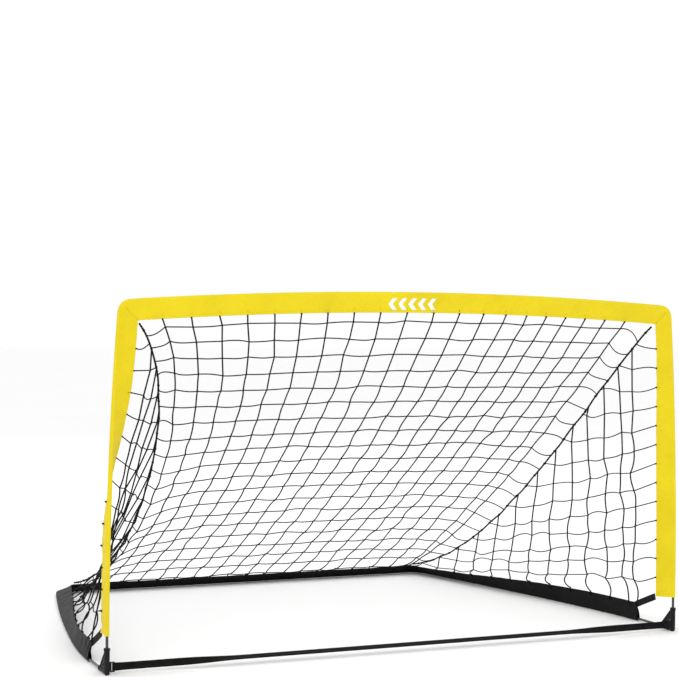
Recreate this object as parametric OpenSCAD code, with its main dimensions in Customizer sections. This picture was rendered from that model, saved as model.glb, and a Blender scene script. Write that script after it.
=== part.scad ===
// Pop-up goal: a pole-framed mouth in a yellow fabric sleeve that plugs into two corner
// connectors, a U-shaped ground frame in black fabric sleeves, a ground strap and a net.
// +X runs along the goal line, +Y into the goal, +Z up. The origin is on the ground, at the
// centre of the goal's footprint.

/* [Goal] */
// Distance between the two uprights on the ground
base_w = 2200; // [1700:10:2400]
// Height of the mouth at its top corners
goal_h = 1220; // [1000:10:1400]
// Depth from the uprights to the rear pole
goal_d = 1600; // [1300:10:1700]
// Angle that the uprights lean in at the top
lean = 4.3; // [3:0.1:6]
// Angle of the crossbar's rise at its ends
crossbar_rise = 3.9; // [2:0.1:5]

/* [Ground frame] */
// Angle that a side pole turns inwards in its front section
side_front_turn = 9; // [7:0.5:9]
// Angle that it has turned inwards when it reaches the rear
side_turn = 13.8; // [12:0.2:16]
// Bend radius of the rear elbows
rear_bend = 80; // [75:1:100]

/* [Poles] */
// Outer radius of a fibreglass pole
pole_r = 4.75; // [4:0.25:4.75]
// Radius of the hole through a pole
pole_bore_r = 2.5; // [2:0.1:2.8]
// Radius of the elastic cord that runs through the poles
shock_cord_r = 1.5; // [1:0.1:1.6]
// Length of a ferrule that joins two pole sections
ferrule_l = 70; // [50:5:90]
// Bend radius of the top elbows
top_bend = 40; // [35:1:45]

/* [Fabric] */
// Width of a sleeve from its pole edge to its hem
sleeve_w = 72; // [60:1:80]
// Thickness of a sleeve at its hem
hem_t = 3; // [2:0.5:4]
// Angle that the left upright sleeve's free edge is turned back by at its foot
left_sleeve_twist = 90; // [0:1:90]
// Angle that the right upright sleeve's free edge is turned back by at its foot
right_sleeve_twist = 34; // [0:1:90]
// Height of the lower end of an upright's sleeve
sleeve_foot = 128; // [115:1:160]
// Width of the webbing
strap_w = 25; // [20:1:26]
// Thickness of the webbing
strap_t = 1.8; // [1.2:0.1:2]

/* [Corner connectors] */
// Height of the upright's socket
socket_h = 88; // [80:1:100]
// Length of the side pole's socket, from the upright's axis
side_socket_l = 78; // [70:1:90]
// Radius of the upright's socket outside
socket_r = 9.25; // [9:0.25:11]

/* [Net] */
// How far the middle of the back net hangs forward of a straight line
back_sag = 180; // [80:10:240]
// How far the seam cords hang forward of a straight line
seam_sag = 280; // [200:10:300]
// How far the seam cords are pulled towards each other
seam_pull = 85; // [0:5:120]
// Thickness of the net
net_t = 1.6; // [1.2:0.2:3]
// Radius of a seam cord
seam_r = 3; // [2:0.5:4]

/* [Hidden] */
$fn = 48;
arc_fn = 1440;              // steps in a full turn of the long pole arcs
eps = 0.01;

fit = 0.05;                 // clearance of a glued joint, and of a plug-in joint
elbow_fit = 0.25;           // clearance of a moulded elbow on a bent pole
ferrule_fit = 0.35;         // clearance of a straight ferrule on a bent pole
ferrule_r = pole_r + ferrule_fit + 0.85;
elbow_r = pole_r + elbow_fit + 1.2;
elbow_socket = 30;          // length of pole that each end of an elbow takes
channel_r = elbow_r + 0.5;  // a sleeve's channel clears the elbows and ferrules
sleeve_r = channel_r + 1.4;
tail_l = sleeve_w - sleeve_r;

half_w = base_w / 2;
socket_rim = 1.4;
front_reach = socket_r + socket_rim;
centre_shift = (front_reach - sleeve_r) / 2;
mouth_y = centre_shift - goal_d / 2;
rear_y = centre_shift + goal_d / 2;

// The mouth's right half is a chain of arcs. Each point on it is named by its heading h: 0 where the
// pole points up, 90 where it points along the goal line.
upright_foot = 40;          // height of the upright's lower end, in its socket
straight_top = 130;         // height at which the upright starts to lean
pole_top = goal_h - sleeve_r;
bend_z = pole_top - top_bend * (cos(crossbar_rise) - sin(lean));
upright_arc = (bend_z - straight_top) / sin(lean);
bend_x = half_w - upright_arc * (1 - cos(lean));
top_centre = [bend_x - top_bend * cos(lean), mouth_y, bend_z - top_bend * sin(lean)];
crossbar_h = 90 - crossbar_rise;
crossbar_end = top_centre + top_bend * [cos(crossbar_h), 0, sin(crossbar_h)];
crossbar_arc = crossbar_end[0] / cos(crossbar_h);
crossbar_z = crossbar_end[2] - crossbar_arc * sin(crossbar_h);
crossbar_centre = [0, mouth_y, crossbar_z];
mitre_h = (lean + crossbar_h) / 2;
inner_corner = top_centre - (tail_l - top_bend) * [1, 0, 1];

function mouth_pt(h) =
    h <= lean ? [half_w - upright_arc * (1 - cos(h)), mouth_y, straight_top + upright_arc * sin(h)]
    : h <= crossbar_h ? top_centre + top_bend * [cos(h), 0, sin(h)]
    : [crossbar_arc * cos(h), mouth_y, crossbar_z + crossbar_arc * sin(h)];

// The ground frame's right half, the same way: 0 points into the goal, 90 along the rear pole.
side_socket_r = 8;
side_rim = 1;
pole_z = side_socket_r + side_rim;
side_pole_start = 30;       // from the upright's axis to the side pole's end
side_straight = 100;        // the side pole is straight this far
side_front_l = 430;         // length of the front section's bend
side_arc_start = [half_w, mouth_y + side_straight, pole_z];
front_arc = arc_radius(side_front_l, side_front_turn);
front_centre = side_arc_start - [front_arc, 0, 0];
side_arc = (mouth_y + goal_d - rear_bend * (1 - sin(side_turn)) - front_centre[1]
    - front_arc * sin(side_front_turn)) / (sin(side_turn) - sin(side_front_turn));
side_centre = front_centre + (front_arc - side_arc) * [cos(side_front_turn), sin(side_front_turn), 0];
rear_centre = side_centre + (side_arc - rear_bend) * [cos(side_turn), sin(side_turn), 0];
rear_half = rear_centre[0];
rear_mitre_h = (side_turn + 90) / 2;
side_joint_h = (side_front_turn + side_turn) / 2;

function ground_pt(h) =
    h <= side_front_turn ? front_centre + front_arc * [cos(h), sin(h), 0]
    : h <= side_turn ? side_centre + side_arc * [cos(h), sin(h), 0]
    : rear_centre + rear_bend * [cos(h), sin(h), 0];

upright_mid_h = lean / 2;

function unit(v) = v / norm(v);
function smooth(t) = let (c = max(0, min(1, t))) c * c * (3 - 2 * c);
function arc_angle(length, radius) = length / radius * 180 / PI;
function arc_radius(length, angle) = length / angle * 180 / PI;
function mix(a, b, t) = a + (b - a) * t;

// ---- swept solids ----

// Triangles of the wall between rings of m points, clockwise from outside.
function wall(n, m, first = 0, flip = false) = [
    for (i = [0 : n - 2], j = [0 : m - 1])
        let (a = first + i * m + j, b = first + i * m + (j + 1) % m)
        each flip ? [[a, b, b + m], [a, b + m, a + m]] : [[a, b + m, b], [a, a + m, b + m]]];

// A closed tube or bar through rings of points.
module swept_bar(rings) {
    n = len(rings);
    m = len(rings[0]);
    polyhedron([for (r = rings) each r], concat(wall(n, m),
        [[for (j = [0 : m - 1]) j], [for (j = [m - 1 : -1 : 0]) (n - 1) * m + j]]));
}

// A tube with a channel through it: outer and inner rings of equal counts.
module swept_shell(outer, inner) {
    n = len(outer);
    m = len(outer[0]);
    second = n * m;
    last = (n - 1) * m;
    caps = [for (j = [0 : m - 1]) let (k = (j + 1) % m)
        each [[j, k, second + k], [j, second + k, second + j],
            [last + j, second + last + k, last + k], [last + j, second + last + j, second + last + k]]];
    polyhedron(concat([for (r = outer) each r], [for (r = inner) each r]),
        concat(wall(n, m), wall(n, m, second, true), caps));
}

// A ring of points in the plane of u and w about p.
function ring(p, u, w, profile) = [for (q = profile) p + q[0] * u + q[1] * w];

// A sleeve's section: round about its pole, then a flat tail of length l to the hem.
round_angles = [for (a = [60 : 30 : 300]) a];
flat_from = sleeve_r + 6;
flat_t = 4.4;
function sleeve_outline(l) = concat([for (a = round_angles) sleeve_r * [cos(a), sin(a)]],
    [[flat_from, -flat_t / 2], [l, -hem_t / 2], [l, hem_t / 2], [flat_from, flat_t / 2]]);
channel_outline = [for (a = concat(round_angles, [330, 350, 370, 390])) channel_r * [cos(a), sin(a)]];

// stations is a list of [point on the pole, direction of travel, point on the hem].
module sleeve(stations) {
    frames = [for (s = stations) let (u = unit(s[2] - s[0]))
        [s[0], u, unit(cross(s[1], u)), norm(s[2] - s[0])]];
    swept_shell([for (f = frames) ring(f[0], f[1], f[2], sleeve_outline(f[3]))],
        [for (f = frames) ring(f[0], f[1], f[2], channel_outline)]);
}

// A closed sheet between two grids of points that face each other.
module sheet(front, back) {
    nu = len(front);
    nv = len(front[0]);
    total = nu * nv;
    faces = [for (i = [0 : nu - 2], j = [0 : nv - 2])
        let (a = i * nv + j, b = a + nv)
        each [[a, a + 1, b + 1], [a, b + 1, b],
            [total + a, total + b + 1, total + a + 1], [total + a, total + b, total + b + 1]]];
    edge = concat([for (j = [0 : nv - 1]) j], [for (i = [1 : nu - 1]) i * nv + nv - 1],
        [for (j = [nv - 2 : -1 : 0]) (nu - 1) * nv + j], [for (i = [nu - 2 : -1 : 1]) i * nv]);
    count = len(edge);
    rim = [for (k = [0 : count - 1]) let (a = edge[k], b = edge[(k + 1) % count])
        each [[a, total + a, total + b], [a, total + b, b]]];
    polyhedron(concat([for (r = front) each r], [for (r = back) each r]), concat(faces, rim));
}

// ---- poles, ferrules, elbows and shock cords ----

module ring_2d(outer, inner = 0) {
    difference() {
        circle(outer, $fn = 48);
        if (inner > 0) circle(inner, $fn = 48);
    }
}

// A tube that starts at the origin heading along +Y and bends towards -X, in the XY plane.
module bent_tube(radius, angle, outer, inner = 0, steps = arc_fn) {
    translate([-radius, 0, 0]) rotate_extrude(angle = angle, $fn = steps)
        translate([radius, 0]) ring_2d(outer, inner);
}

// The same tube from a later angle.
module bent_tube_from(radius, from, angle, outer, inner = 0) {
    translate([-radius, 0, 0]) rotate(from) translate([radius, 0, 0]) bent_tube(radius, angle, outer, inner);
}

module straight_tube(length, outer, inner = 0) {
    rotate([-90, 0, 0]) linear_extrude(length) ring_2d(outer, inner);
}

// Places whose +Y is a pole's direction of travel and whose -X is the inside of its bend.
module at_side(p) {
    translate(p) children();
}

module at_mouth(p) {
    translate(p) rotate([90, 0, 0]) children();
}

upright_base = [half_w, mouth_y, straight_top];

// The curved pole of an upright, from one heading to another.
module upright_tube(h0, h1, outer, inner) {
    at_mouth(upright_base) bent_tube_from(upright_arc, h0, h1 - h0, outer, inner);
}

module upright_lower() {
    color("#26282b") at_mouth(upright_base) {
        translate([0, upright_foot - straight_top, 0])
            straight_tube(straight_top - upright_foot, pole_r, pole_bore_r);
        bent_tube(upright_arc, upright_mid_h, pole_r, pole_bore_r);
    }
}

module upright_upper() {
    color("#26282b") upright_tube(upright_mid_h, lean, pole_r, pole_bore_r);
}

module upright_ferrule() {
    half = arc_angle(ferrule_l / 2, upright_arc);
    color("silver") upright_tube(upright_mid_h - half, upright_mid_h + half, ferrule_r, pole_r + ferrule_fit);
}

// An elbow turns from one straight socket to another. Its bend is narrower, so that the poles stop there.
module elbow(radius, angle) {
    lap = 2;
    stop = 1;
    difference() {
        union() {
            bent_tube(radius, angle, elbow_r - 0.5, 0, 180);
            elbow_ends(radius, angle, elbow_r, lap);
        }
        bent_tube(radius, angle, pole_bore_r, 0, 180);
        elbow_ends(radius, angle, pole_r + elbow_fit, stop);
    }
}

module elbow_ends(radius, angle, outer, past) {
    translate([0, -elbow_socket - (outer < elbow_r ? eps : 0), 0]) straight_tube(elbow_socket + past, outer);
    translate([-radius, 0, 0]) rotate(angle) translate([radius, -past, 0])
        straight_tube(elbow_socket + past + (outer < elbow_r ? eps : 0), outer);
}

module top_elbow() {
    color("#1b1b1d") at_mouth(top_centre) rotate(lean) translate([top_bend, 0, 0])
        elbow(top_bend, crossbar_h - lean);
}

module rear_elbow() {
    color("#1b1b1d") at_side(rear_centre) rotate(side_turn) translate([rear_bend, 0, 0])
        elbow(rear_bend, 90 - side_turn);
}

module crossbar_tube(h0, h1, outer, inner) {
    at_mouth([0, mouth_y, crossbar_z + crossbar_arc]) rotate(90)
        bent_tube_from(crossbar_arc, h0 - 90, h1 - h0, outer, inner);
}

// The crossbar is three equal pole sections: 0 is the right one.
crossbar_step = 2 * crossbar_rise / 3;
module crossbar_pole(i) {
    h0 = crossbar_h + i * crossbar_step;
    color("#26282b") crossbar_tube(h0, h0 + crossbar_step, pole_r, pole_bore_r);
}

module crossbar_ferrule(i) {
    joint_h = crossbar_h + (i + 1) * crossbar_step;
    half = arc_angle(ferrule_l / 2, crossbar_arc);
    color("silver") crossbar_tube(joint_h - half, joint_h + half, ferrule_r, pole_r + ferrule_fit);
}

module side_pole_front() {
    length = side_straight - side_pole_start;
    color("#26282b") at_side(side_arc_start) {
        translate([0, -length, 0]) straight_tube(length, pole_r, pole_bore_r);
        bent_tube(front_arc, side_front_turn, pole_r, pole_bore_r);
    }
}

// The middle and rear sections share one arc.
module side_tube(h0, h1, outer, inner) {
    at_side(side_centre) rotate(h0) translate([side_arc, 0, 0]) bent_tube(side_arc, h1 - h0, outer, inner);
}

module side_pole_middle() {
    color("#26282b") side_tube(side_front_turn, side_joint_h, pole_r, pole_bore_r);
}

module side_pole_rear() {
    color("#26282b") side_tube(side_joint_h, side_turn, pole_r, pole_bore_r);
}

// A ferrule is a straight tube centred on the joint of two sections.
module side_ferrule(h) {
    p = ground_pt(h);
    color("silver") at_side(p) rotate(h) translate([0, -ferrule_l / 2, 0])
        straight_tube(ferrule_l, ferrule_r, pole_r + ferrule_fit);
}

// The rear pole is three equal sections, and i is -1, 0 or 1.
rear_section = 2 * rear_half / 3;
module rear_tube(x, length, outer, inner) {
    translate([x + length / 2, rear_y, pole_z]) rotate(90) straight_tube(length, outer, inner);
}

module rear_pole(i) {
    color("#26282b") rear_tube(i * rear_section, rear_section, pole_r, pole_bore_r);
}

module rear_ferrule(side) {
    color("silver") rear_tube(side * rear_section / 2, ferrule_l, ferrule_r, pole_r + ferrule_fit);
}

module both_sides() {
    children();
    mirror([1, 0, 0]) children();
}

function flipped(points) = [for (k = [len(points) - 1 : -1 : 0]) [-points[k][0], points[k][1], points[k][2]]];

// A cord through points that lie in one plane, whose normal is n.
module cord(points, n, radius) {
    last = len(points) - 1;
    color("#e8e8e8") swept_bar([for (k = [0 : last])
        let (t = unit(points[min(k + 1, last)] - points[max(k - 1, 0)]), u = cross(t, n))
        ring(points[k], u, n, [for (a = [22.5 : 45 : 337.5]) radius * [cos(a), sin(a)]])]);
}

cord_inset = 4;             // a shock cord is tied off just inside the ends of its poles
module mouth_shock_cord() {
    half = concat([[half_w, mouth_y, upright_foot + cord_inset]],
        [for (k = [0 : 6]) mouth_pt(lean * k / 6)],
        [for (k = [1 : 7]) mouth_pt(mix(lean, crossbar_h, k / 8))],
        [for (k = [0 : 7]) mouth_pt(mix(crossbar_h, 90, k / 8))]);
    cord(concat(half, [mouth_pt(90)], flipped(half)), [0, 1, 0], shock_cord_r);
}

module ground_shock_cord() {
    half = concat([[half_w, mouth_y + side_pole_start + cord_inset, pole_z]],
        [for (k = [0 : 5]) ground_pt(side_front_turn * k / 5)],
        [for (k = [1 : 6]) ground_pt(mix(side_front_turn, side_turn, k / 6))],
        [for (k = [1 : 8]) ground_pt(mix(side_turn, 90, k / 8))]);
    cord(concat(half, flipped(half)), [0, 0, -1], shock_cord_r);
}

// ---- corner connectors ----

strap_z = 26;               // height of the ground strap's centreline
lug_bar = 6;                // width and thickness of the bar that the strap loops round
lug_slot = 5;
lug_slot_x = -20;           // slot's far edge from the upright's axis
brace_t = 6;
brace_rib_t = 10;
window = [[11, 46], [11, 28], [38, 28]];

module strap_lug() {
    difference() {
        translate([lug_slot_x - lug_bar, -lug_bar / 2, strap_z - strap_w / 2 - 4])
            cube([lug_bar - lug_slot_x, lug_bar, strap_w + 8]);
        translate([lug_slot_x, -lug_bar, strap_z - strap_w / 2 - 1])
            cube([lug_slot, 2 * lug_bar, strap_w + 2]);
    }
}

// The web between the two sockets, in the plane of the side pole and the upright.
module brace() {
    slope_top = socket_h - 6;
    slope_end = [side_socket_l - 5, pole_z + 5];
    rotate([90, 0, 90]) {
        translate([0, 0, -brace_t / 2]) linear_extrude(brace_t) difference() {
            polygon([[0, 6], [0, slope_top], [8, slope_top], slope_end, [side_socket_l - 5, 6]]);
            polygon(window);
        }
        translate([0, 0, -brace_rib_t / 2]) linear_extrude(brace_rib_t)
            polygon([[6, slope_top - 6], [6, slope_top], [8, slope_top], slope_end, slope_end - [6, 0]]);
    }
}

module connector() {
    chamfer = 1.5;
    rim_h = 9;
    foot_h = 7;
    color("#161617") translate([half_w, mouth_y, 0]) difference() {
        union() {
            cylinder(h = foot_h, r1 = socket_r - 3, r2 = socket_r);
            translate([0, 0, foot_h]) cylinder(h = socket_h - foot_h, r = socket_r);
            translate([0, 0, socket_h - rim_h]) cylinder(h = rim_h, r = front_reach);
            translate([0, 0, pole_z]) rotate([-90, 0, 0]) cylinder(h = side_socket_l, r = side_socket_r);
            translate([0, side_socket_l - rim_h, pole_z]) rotate([-90, 0, 0])
                cylinder(h = rim_h, r = side_socket_r + side_rim);
            brace();
            strap_lug();
        }
        translate([0, 0, upright_foot]) cylinder(h = socket_h, r = pole_r + fit);
        translate([0, 0, socket_h - chamfer])
            cylinder(h = chamfer + eps, r1 = pole_r + fit, r2 = pole_r + fit + chamfer);
        translate([0, side_pole_start, pole_z]) rotate([-90, 0, 0])
            cylinder(h = side_socket_l, r = pole_r + fit);
    }
}

// ---- webbing ----

sewn_from = 60;             // from the upright's axis: where the strap's two layers meet
sewn_to = 130;
twist_run = 350;            // length over which the strap turns from standing to lying
strap_turn = 68;
loop_gap = lug_bar / 2 + 0.3;

module strap_end() {
    outer_x = lug_slot_x + 0.4 + strap_t;
    translate([half_w, mouth_y, strap_z - strap_w / 2]) linear_extrude(strap_w) difference() {
        polygon([[outer_x, -loop_gap - strap_t], [outer_x, loop_gap + strap_t], [-32, loop_gap + strap_t],
            [-sewn_from, strap_t], [-sewn_to, strap_t], [-sewn_to, -strap_t], [-sewn_from, -strap_t],
            [-32, -loop_gap - strap_t]]);
        polygon([[lug_slot_x + 0.4, -loop_gap], [lug_slot_x + 0.4, loop_gap], [-31, loop_gap],
            [-sewn_from + 6, 0], [-31, -loop_gap]]);
    }
}

module strap_middle() {
    reach = half_w - sewn_to + 1;
    steps = 48;
    swept_bar([for (k = [0 : steps])
        let (x = mix(reach, -reach, k / steps),
            turn = strap_turn * smooth((reach - abs(x)) / twist_run),
            u = [0, sin(turn), cos(turn)])
        ring([x, mouth_y, strap_z], u, cross([-1, 0, 0], u),
            [[-strap_w / 2, -strap_t / 2], [strap_w / 2, -strap_t / 2], [strap_w / 2, strap_t / 2],
                [-strap_w / 2, strap_t / 2]])]);
}

module ground_strap() {
    color("#121213") union() {
        both_sides() strap_end();
        strap_middle();
    }
}

// ---- fabric sleeves ----

twist_low = 430;            // below this height the upright's sleeve is pulled fully back
twist_high = 1100;
function sleeve_turn(z, twist) = twist * (1 - smooth((z - twist_low) / (twist_high - twist_low)));
function upright_hem(p, twist) = let (a = sleeve_turn(p[2], twist)) p + tail_l * [-cos(a), sin(a), 0];

upright_headings = [for (k = [0 : 22]) lean * k / 22];
fan_headings = [for (k = [1 : 6]) mix(lean, mitre_h, k / 6)];

module upright_sleeve(twist) {
    foot = [half_w, mouth_y, sleeve_foot];
    rise = [for (h = upright_headings) let (p = mouth_pt(h))
        [p, [-sin(h), 0, cos(h)], p[2] < inner_corner[2] ? upright_hem(p, twist) : inner_corner]];
    fan = [for (h = fan_headings) [mouth_pt(h), [-sin(h), 0, cos(h)], inner_corner]];
    color("#f5e21c") sleeve(concat([[foot, [0, 0, 1], upright_hem(foot, twist)]], rise, fan));
}

function crossbar_hem(p) = p - tail_l * unit(p - crossbar_centre);

module crossbar_sleeve() {
    half_fan = [for (h = [for (k = [0 : 5]) mix(mitre_h, crossbar_h, k / 6)])
        [mouth_pt(h), [-sin(h), 0, cos(h)], inner_corner]];
    bar = [for (k = [0 : 34])
        let (h = mix(crossbar_h, 180 - crossbar_h, k / 34), p = mouth_pt(h), x = abs(p[0]))
        [p, [-sin(h), 0, cos(h)],
            x > inner_corner[0] ? [sign(p[0]) * inner_corner[0], mouth_y, inner_corner[2]]
            : crossbar_hem(p)]];
    other_fan = [for (k = [len(half_fan) - 1 : -1 : 0]) let (s = half_fan[k])
        [[-s[0][0], s[0][1], s[0][2]], [s[1][0], 0, -s[1][2]], [-s[2][0], s[2][1], s[2][2]]]];
    color("#f5e21c") sleeve(concat(half_fan, bar, other_fan));
}

base_sleeve_start = 215;    // from the upright's axis
lift_front = 84;            // angle that the side sleeve stands at
lift_rear = 30;             // angle that the rear sleeve stands at
lift_full = 0.28;           // share of the side over which it stands fully up
function side_share(p) = (p[1] - mouth_y - base_sleeve_start) / (goal_d - base_sleeve_start - rear_bend);
function lift(p) = mix(lift_front, lift_rear,
    smooth((side_share(p) - lift_full * 0.4) / (1 - lift_full * 0.4)));
function ground_station(p, h) = let (b = lift(p))
    [p, [-sin(h), cos(h), 0], p + tail_l * [-cos(h) * cos(b), -sin(h) * cos(b), sin(b)]];

side_sleeve_h0 = arc_angle(base_sleeve_start - side_straight, front_arc);
side_headings = concat([for (k = [0 : 9]) mix(side_sleeve_h0, side_front_turn, k / 9)],
    [for (k = [1 : 18]) mix(side_front_turn, side_turn, k / 18)],
    [for (k = [1 : 5]) mix(side_turn, rear_mitre_h, k / 5)]);

module base_sleeve_side() {
    color("#0e0e0f") sleeve([for (h = side_headings) ground_station(ground_pt(h), h)]);
}

module base_sleeve_rear() {
    bend = [for (k = [0 : 5]) mix(rear_mitre_h, 90, k / 5)];
    right = [for (h = bend) ground_station(ground_pt(h), h)];
    left = [for (k = [len(right) - 1 : -1 : 0]) let (s = right[k])
        [[-s[0][0], s[0][1], s[0][2]], [s[1][0], -s[1][1], 0], [-s[2][0], s[2][1], s[2][2]]]];
    color("#0e0e0f") sleeve(concat(right, left));
}

// ---- net ----

net_gap = 2;                // between the net and a hem
seam_gap = seam_r + 2.5;    // between a seam cord's centre and the back panel
side_gap = seam_r + 13;   // between a seam cord's centre and a side panel, along the panel
front_share = 0.14;         // share of a side panel's lower edge that is in front of the side sleeve
function nearer(p, q, d) = p + d * unit(q - p);

side_hem = [for (h = side_headings) ground_station(ground_pt(h), h)[2]];
rear_corner = side_hem[len(side_hem) - 1];
top_corner = inner_corner + [0, net_gap, -net_gap];

// A seam cord runs from the mouth's inner corner to the rear corner of the ground frame.
function hang(v) = 4 * v * (1 - v);
seam_ends = [top_corner + [-6, 10, -6], rear_corner + [-6, -8, 10]];
seam_bow = [-seam_pull, -seam_sag, -0.11 * seam_sag];
seam_skew = [-0.19 * seam_pull, -0.14 * seam_sag, 0.47 * seam_sag];
back_bow = [0, -back_sag, 0];
back_skew = [0, -0.14 * back_sag, 0];
function bow_at(bow, skew, v) = hang(v) * (bow + (1 - 2 * v) * skew);
function seam_pt(v) = mix(seam_ends[0], seam_ends[1], v) + bow_at(seam_bow, seam_skew, v);

module seam_cord() {
    steps = 36;
    color("#141414") swept_bar([for (k = [0 : steps])
        let (p = seam_pt(k / steps), t = unit(seam_pt((k + 0.5) / steps) - seam_pt((k - 0.5) / steps)),
            u = unit(cross(t, [0, 1, 0])))
        ring(p, u, cross(t, u), [for (a = [0 : 45 : 315]) seam_r * [cos(a), sin(a)]])]);
}

// The back panel: u runs along the goal line from -1 to 1, v from the crossbar to the rear pole.
back_top_h = acos((seam_ends[0][0] - seam_gap) / crossbar_arc);
function back_top(u) = crossbar_hem(mouth_pt(90 - (90 - back_top_h) * u)) + [0, net_gap, -net_gap];
function back_bottom(u) = [u * (seam_ends[1][0] - seam_gap),
    rear_y - tail_l * cos(lift_rear) - net_gap, pole_z + tail_l * sin(lift_rear) + net_gap];
// Only the last part of the panel, next to a seam cord, follows the cord's own curve.
function back_bow_at(u, v) = let (seam = bow_at(seam_bow, seam_skew, v))
    mix(bow_at(back_bow, back_skew, v), [0, seam[1], seam[2]], pow(abs(u), 6)) + [seam[0] * u, 0, 0];
function back_pt(u, v) = mix(back_top(u), back_bottom(u), v) + back_bow_at(u, v);

module net_back() {
    nu = 14;
    nv = 18;
    front = [for (i = [0 : nu]) [for (j = [0 : nv]) back_pt(2 * i / nu - 1, mix(0.02, 0.98, j / nv))]];
    back = [for (r = front) [for (p = r) p + net_t * [0, 0.6, 0.8]]];
    color("#1c1c1c") sheet(front, back);
}

// A side panel: u runs from the upright's hem to the seam cord, v from the top corner down.
// twist is the turn of the upright sleeve that the panel hangs on.
function side_front(v, twist) =
    let (z = mix(top_corner[2], sleeve_foot + 8, v), p = mouth_pt(asin(max(0, z - straight_top) / upright_arc)))
    nearer(upright_hem([p[0], p[1], z], twist), seam_pt(v), net_gap);
function side_rear(v, twist) = nearer(seam_pt(v), side_front(v, twist), side_gap);
function side_edge(twist) = concat(
    [for (i = [0 : len(side_hem) - 4]) side_hem[i] + net_gap * [-0.7, 0, 0.7]], [side_rear(1, twist)]);
function side_bottom(u, twist) = let (edge = side_edge(twist))
    u < front_share ? mix(side_front(1, twist), edge[0], u / front_share)
    : let (s = min((u - front_share) / (1 - front_share), 0.9999) * (len(edge) - 1), i = floor(s))
        mix(edge[i], edge[i + 1], s - i);
function side_pt(u, v, twist) = mix(side_front(v, twist), side_rear(v, twist), u)
    + pow(v, 4) * (side_bottom(u, twist) - mix(side_front(1, twist), side_rear(1, twist), u));

module net_side(twist) {
    nu = 14;
    nv = 24;
    front = [for (i = [0 : nu]) [for (j = [0 : nv]) side_pt(i / nu, mix(0.06, 0.985, j / nv), twist)]];
    back = [for (r = front) [for (p = r) p - net_t * [1, 0, 0]]];
    color("#1c1c1c") sheet(back, front);
}

// Webbing from the foot of an upright's sleeve to the front of a side sleeve.
module tie_strap(twist) {
    foot_hem = upright_hem([half_w, mouth_y, sleeve_foot], twist);
    a = foot_hem + [-1, 3, -1];
    b = side_hem[0] + [-3, -3, -4];
    run = unit(b - a);
    across = unit(cross(run, [1, 0, 0]));
    out = unit(cross(run, across));
    corners = [[-strap_w / 2, -strap_t / 2], [strap_w / 2, -strap_t / 2], [strap_w / 2, strap_t / 2],
        [-strap_w / 2, strap_t / 2]];
    color("#121213") swept_bar([ring(a, across, out, corners), ring(b, across, out, corners)]);
}

module left() {
    mirror([1, 0, 0]) children();
}

left() connector();  // corner_connector_left
connector();  // corner_connector_right
left() side_pole_front();  // side_pole_left_front
left() side_pole_middle();  // side_pole_left_middle
left() side_pole_rear();  // side_pole_left_rear
side_pole_front();  // side_pole_right_front
side_pole_middle();  // side_pole_right_middle
side_pole_rear();  // side_pole_right_rear
left() side_ferrule(side_front_turn);  // side_ferrule_left_front
left() side_ferrule(side_joint_h);  // side_ferrule_left_rear
side_ferrule(side_front_turn);  // side_ferrule_right_front
side_ferrule(side_joint_h);  // side_ferrule_right_rear
left() rear_elbow();  // rear_elbow_left
rear_elbow();  // rear_elbow_right
rear_pole(-1);  // rear_pole_left
rear_pole(0);  // rear_pole_middle
rear_pole(1);  // rear_pole_right
rear_ferrule(-1);  // rear_ferrule_left
rear_ferrule(1);  // rear_ferrule_right
ground_shock_cord();
left() base_sleeve_side();  // base_sleeve_left
base_sleeve_side();  // base_sleeve_right
base_sleeve_rear();
ground_strap();
net_back();
left() net_side(left_sleeve_twist);  // net_left
net_side(right_sleeve_twist);  // net_right
left() seam_cord();  // seam_cord_left
seam_cord();  // seam_cord_right
left() upright_lower();  // upright_pole_left_lower
left() upright_upper();  // upright_pole_left_upper
upright_lower();  // upright_pole_right_lower
upright_upper();  // upright_pole_right_upper
left() upright_ferrule();  // upright_ferrule_left
upright_ferrule();  // upright_ferrule_right
left() top_elbow();  // top_elbow_left
top_elbow();  // top_elbow_right
crossbar_pole(2);  // crossbar_pole_left
crossbar_pole(1);  // crossbar_pole_middle
crossbar_pole(0);  // crossbar_pole_right
crossbar_ferrule(1);  // crossbar_ferrule_left
crossbar_ferrule(0);  // crossbar_ferrule_right
mouth_shock_cord();
left() upright_sleeve(left_sleeve_twist);  // upright_sleeve_left
upright_sleeve(right_sleeve_twist);  // upright_sleeve_right
crossbar_sleeve();
left() tie_strap(left_sleeve_twist);  // tie_strap_left
tie_strap(right_sleeve_twist);  // tie_strap_right
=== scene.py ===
import math

import bpy
import numpy as np
from mathutils import Matrix, Vector


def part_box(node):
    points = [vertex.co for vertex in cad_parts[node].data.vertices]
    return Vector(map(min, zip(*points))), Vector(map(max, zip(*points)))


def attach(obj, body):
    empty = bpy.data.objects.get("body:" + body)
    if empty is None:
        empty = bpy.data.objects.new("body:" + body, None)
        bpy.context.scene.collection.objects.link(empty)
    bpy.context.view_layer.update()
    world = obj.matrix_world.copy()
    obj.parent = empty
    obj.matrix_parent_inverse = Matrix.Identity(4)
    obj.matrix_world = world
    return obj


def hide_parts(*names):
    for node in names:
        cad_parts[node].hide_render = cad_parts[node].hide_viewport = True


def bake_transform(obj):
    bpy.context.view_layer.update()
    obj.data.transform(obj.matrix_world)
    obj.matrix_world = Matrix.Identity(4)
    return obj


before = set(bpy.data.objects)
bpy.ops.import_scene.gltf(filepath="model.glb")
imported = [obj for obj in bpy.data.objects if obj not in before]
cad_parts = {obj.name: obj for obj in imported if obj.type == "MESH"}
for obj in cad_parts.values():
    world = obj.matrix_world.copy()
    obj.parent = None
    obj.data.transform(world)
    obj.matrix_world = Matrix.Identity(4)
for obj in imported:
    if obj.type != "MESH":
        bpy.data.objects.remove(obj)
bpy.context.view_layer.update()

# ---- small helpers ----

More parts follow.
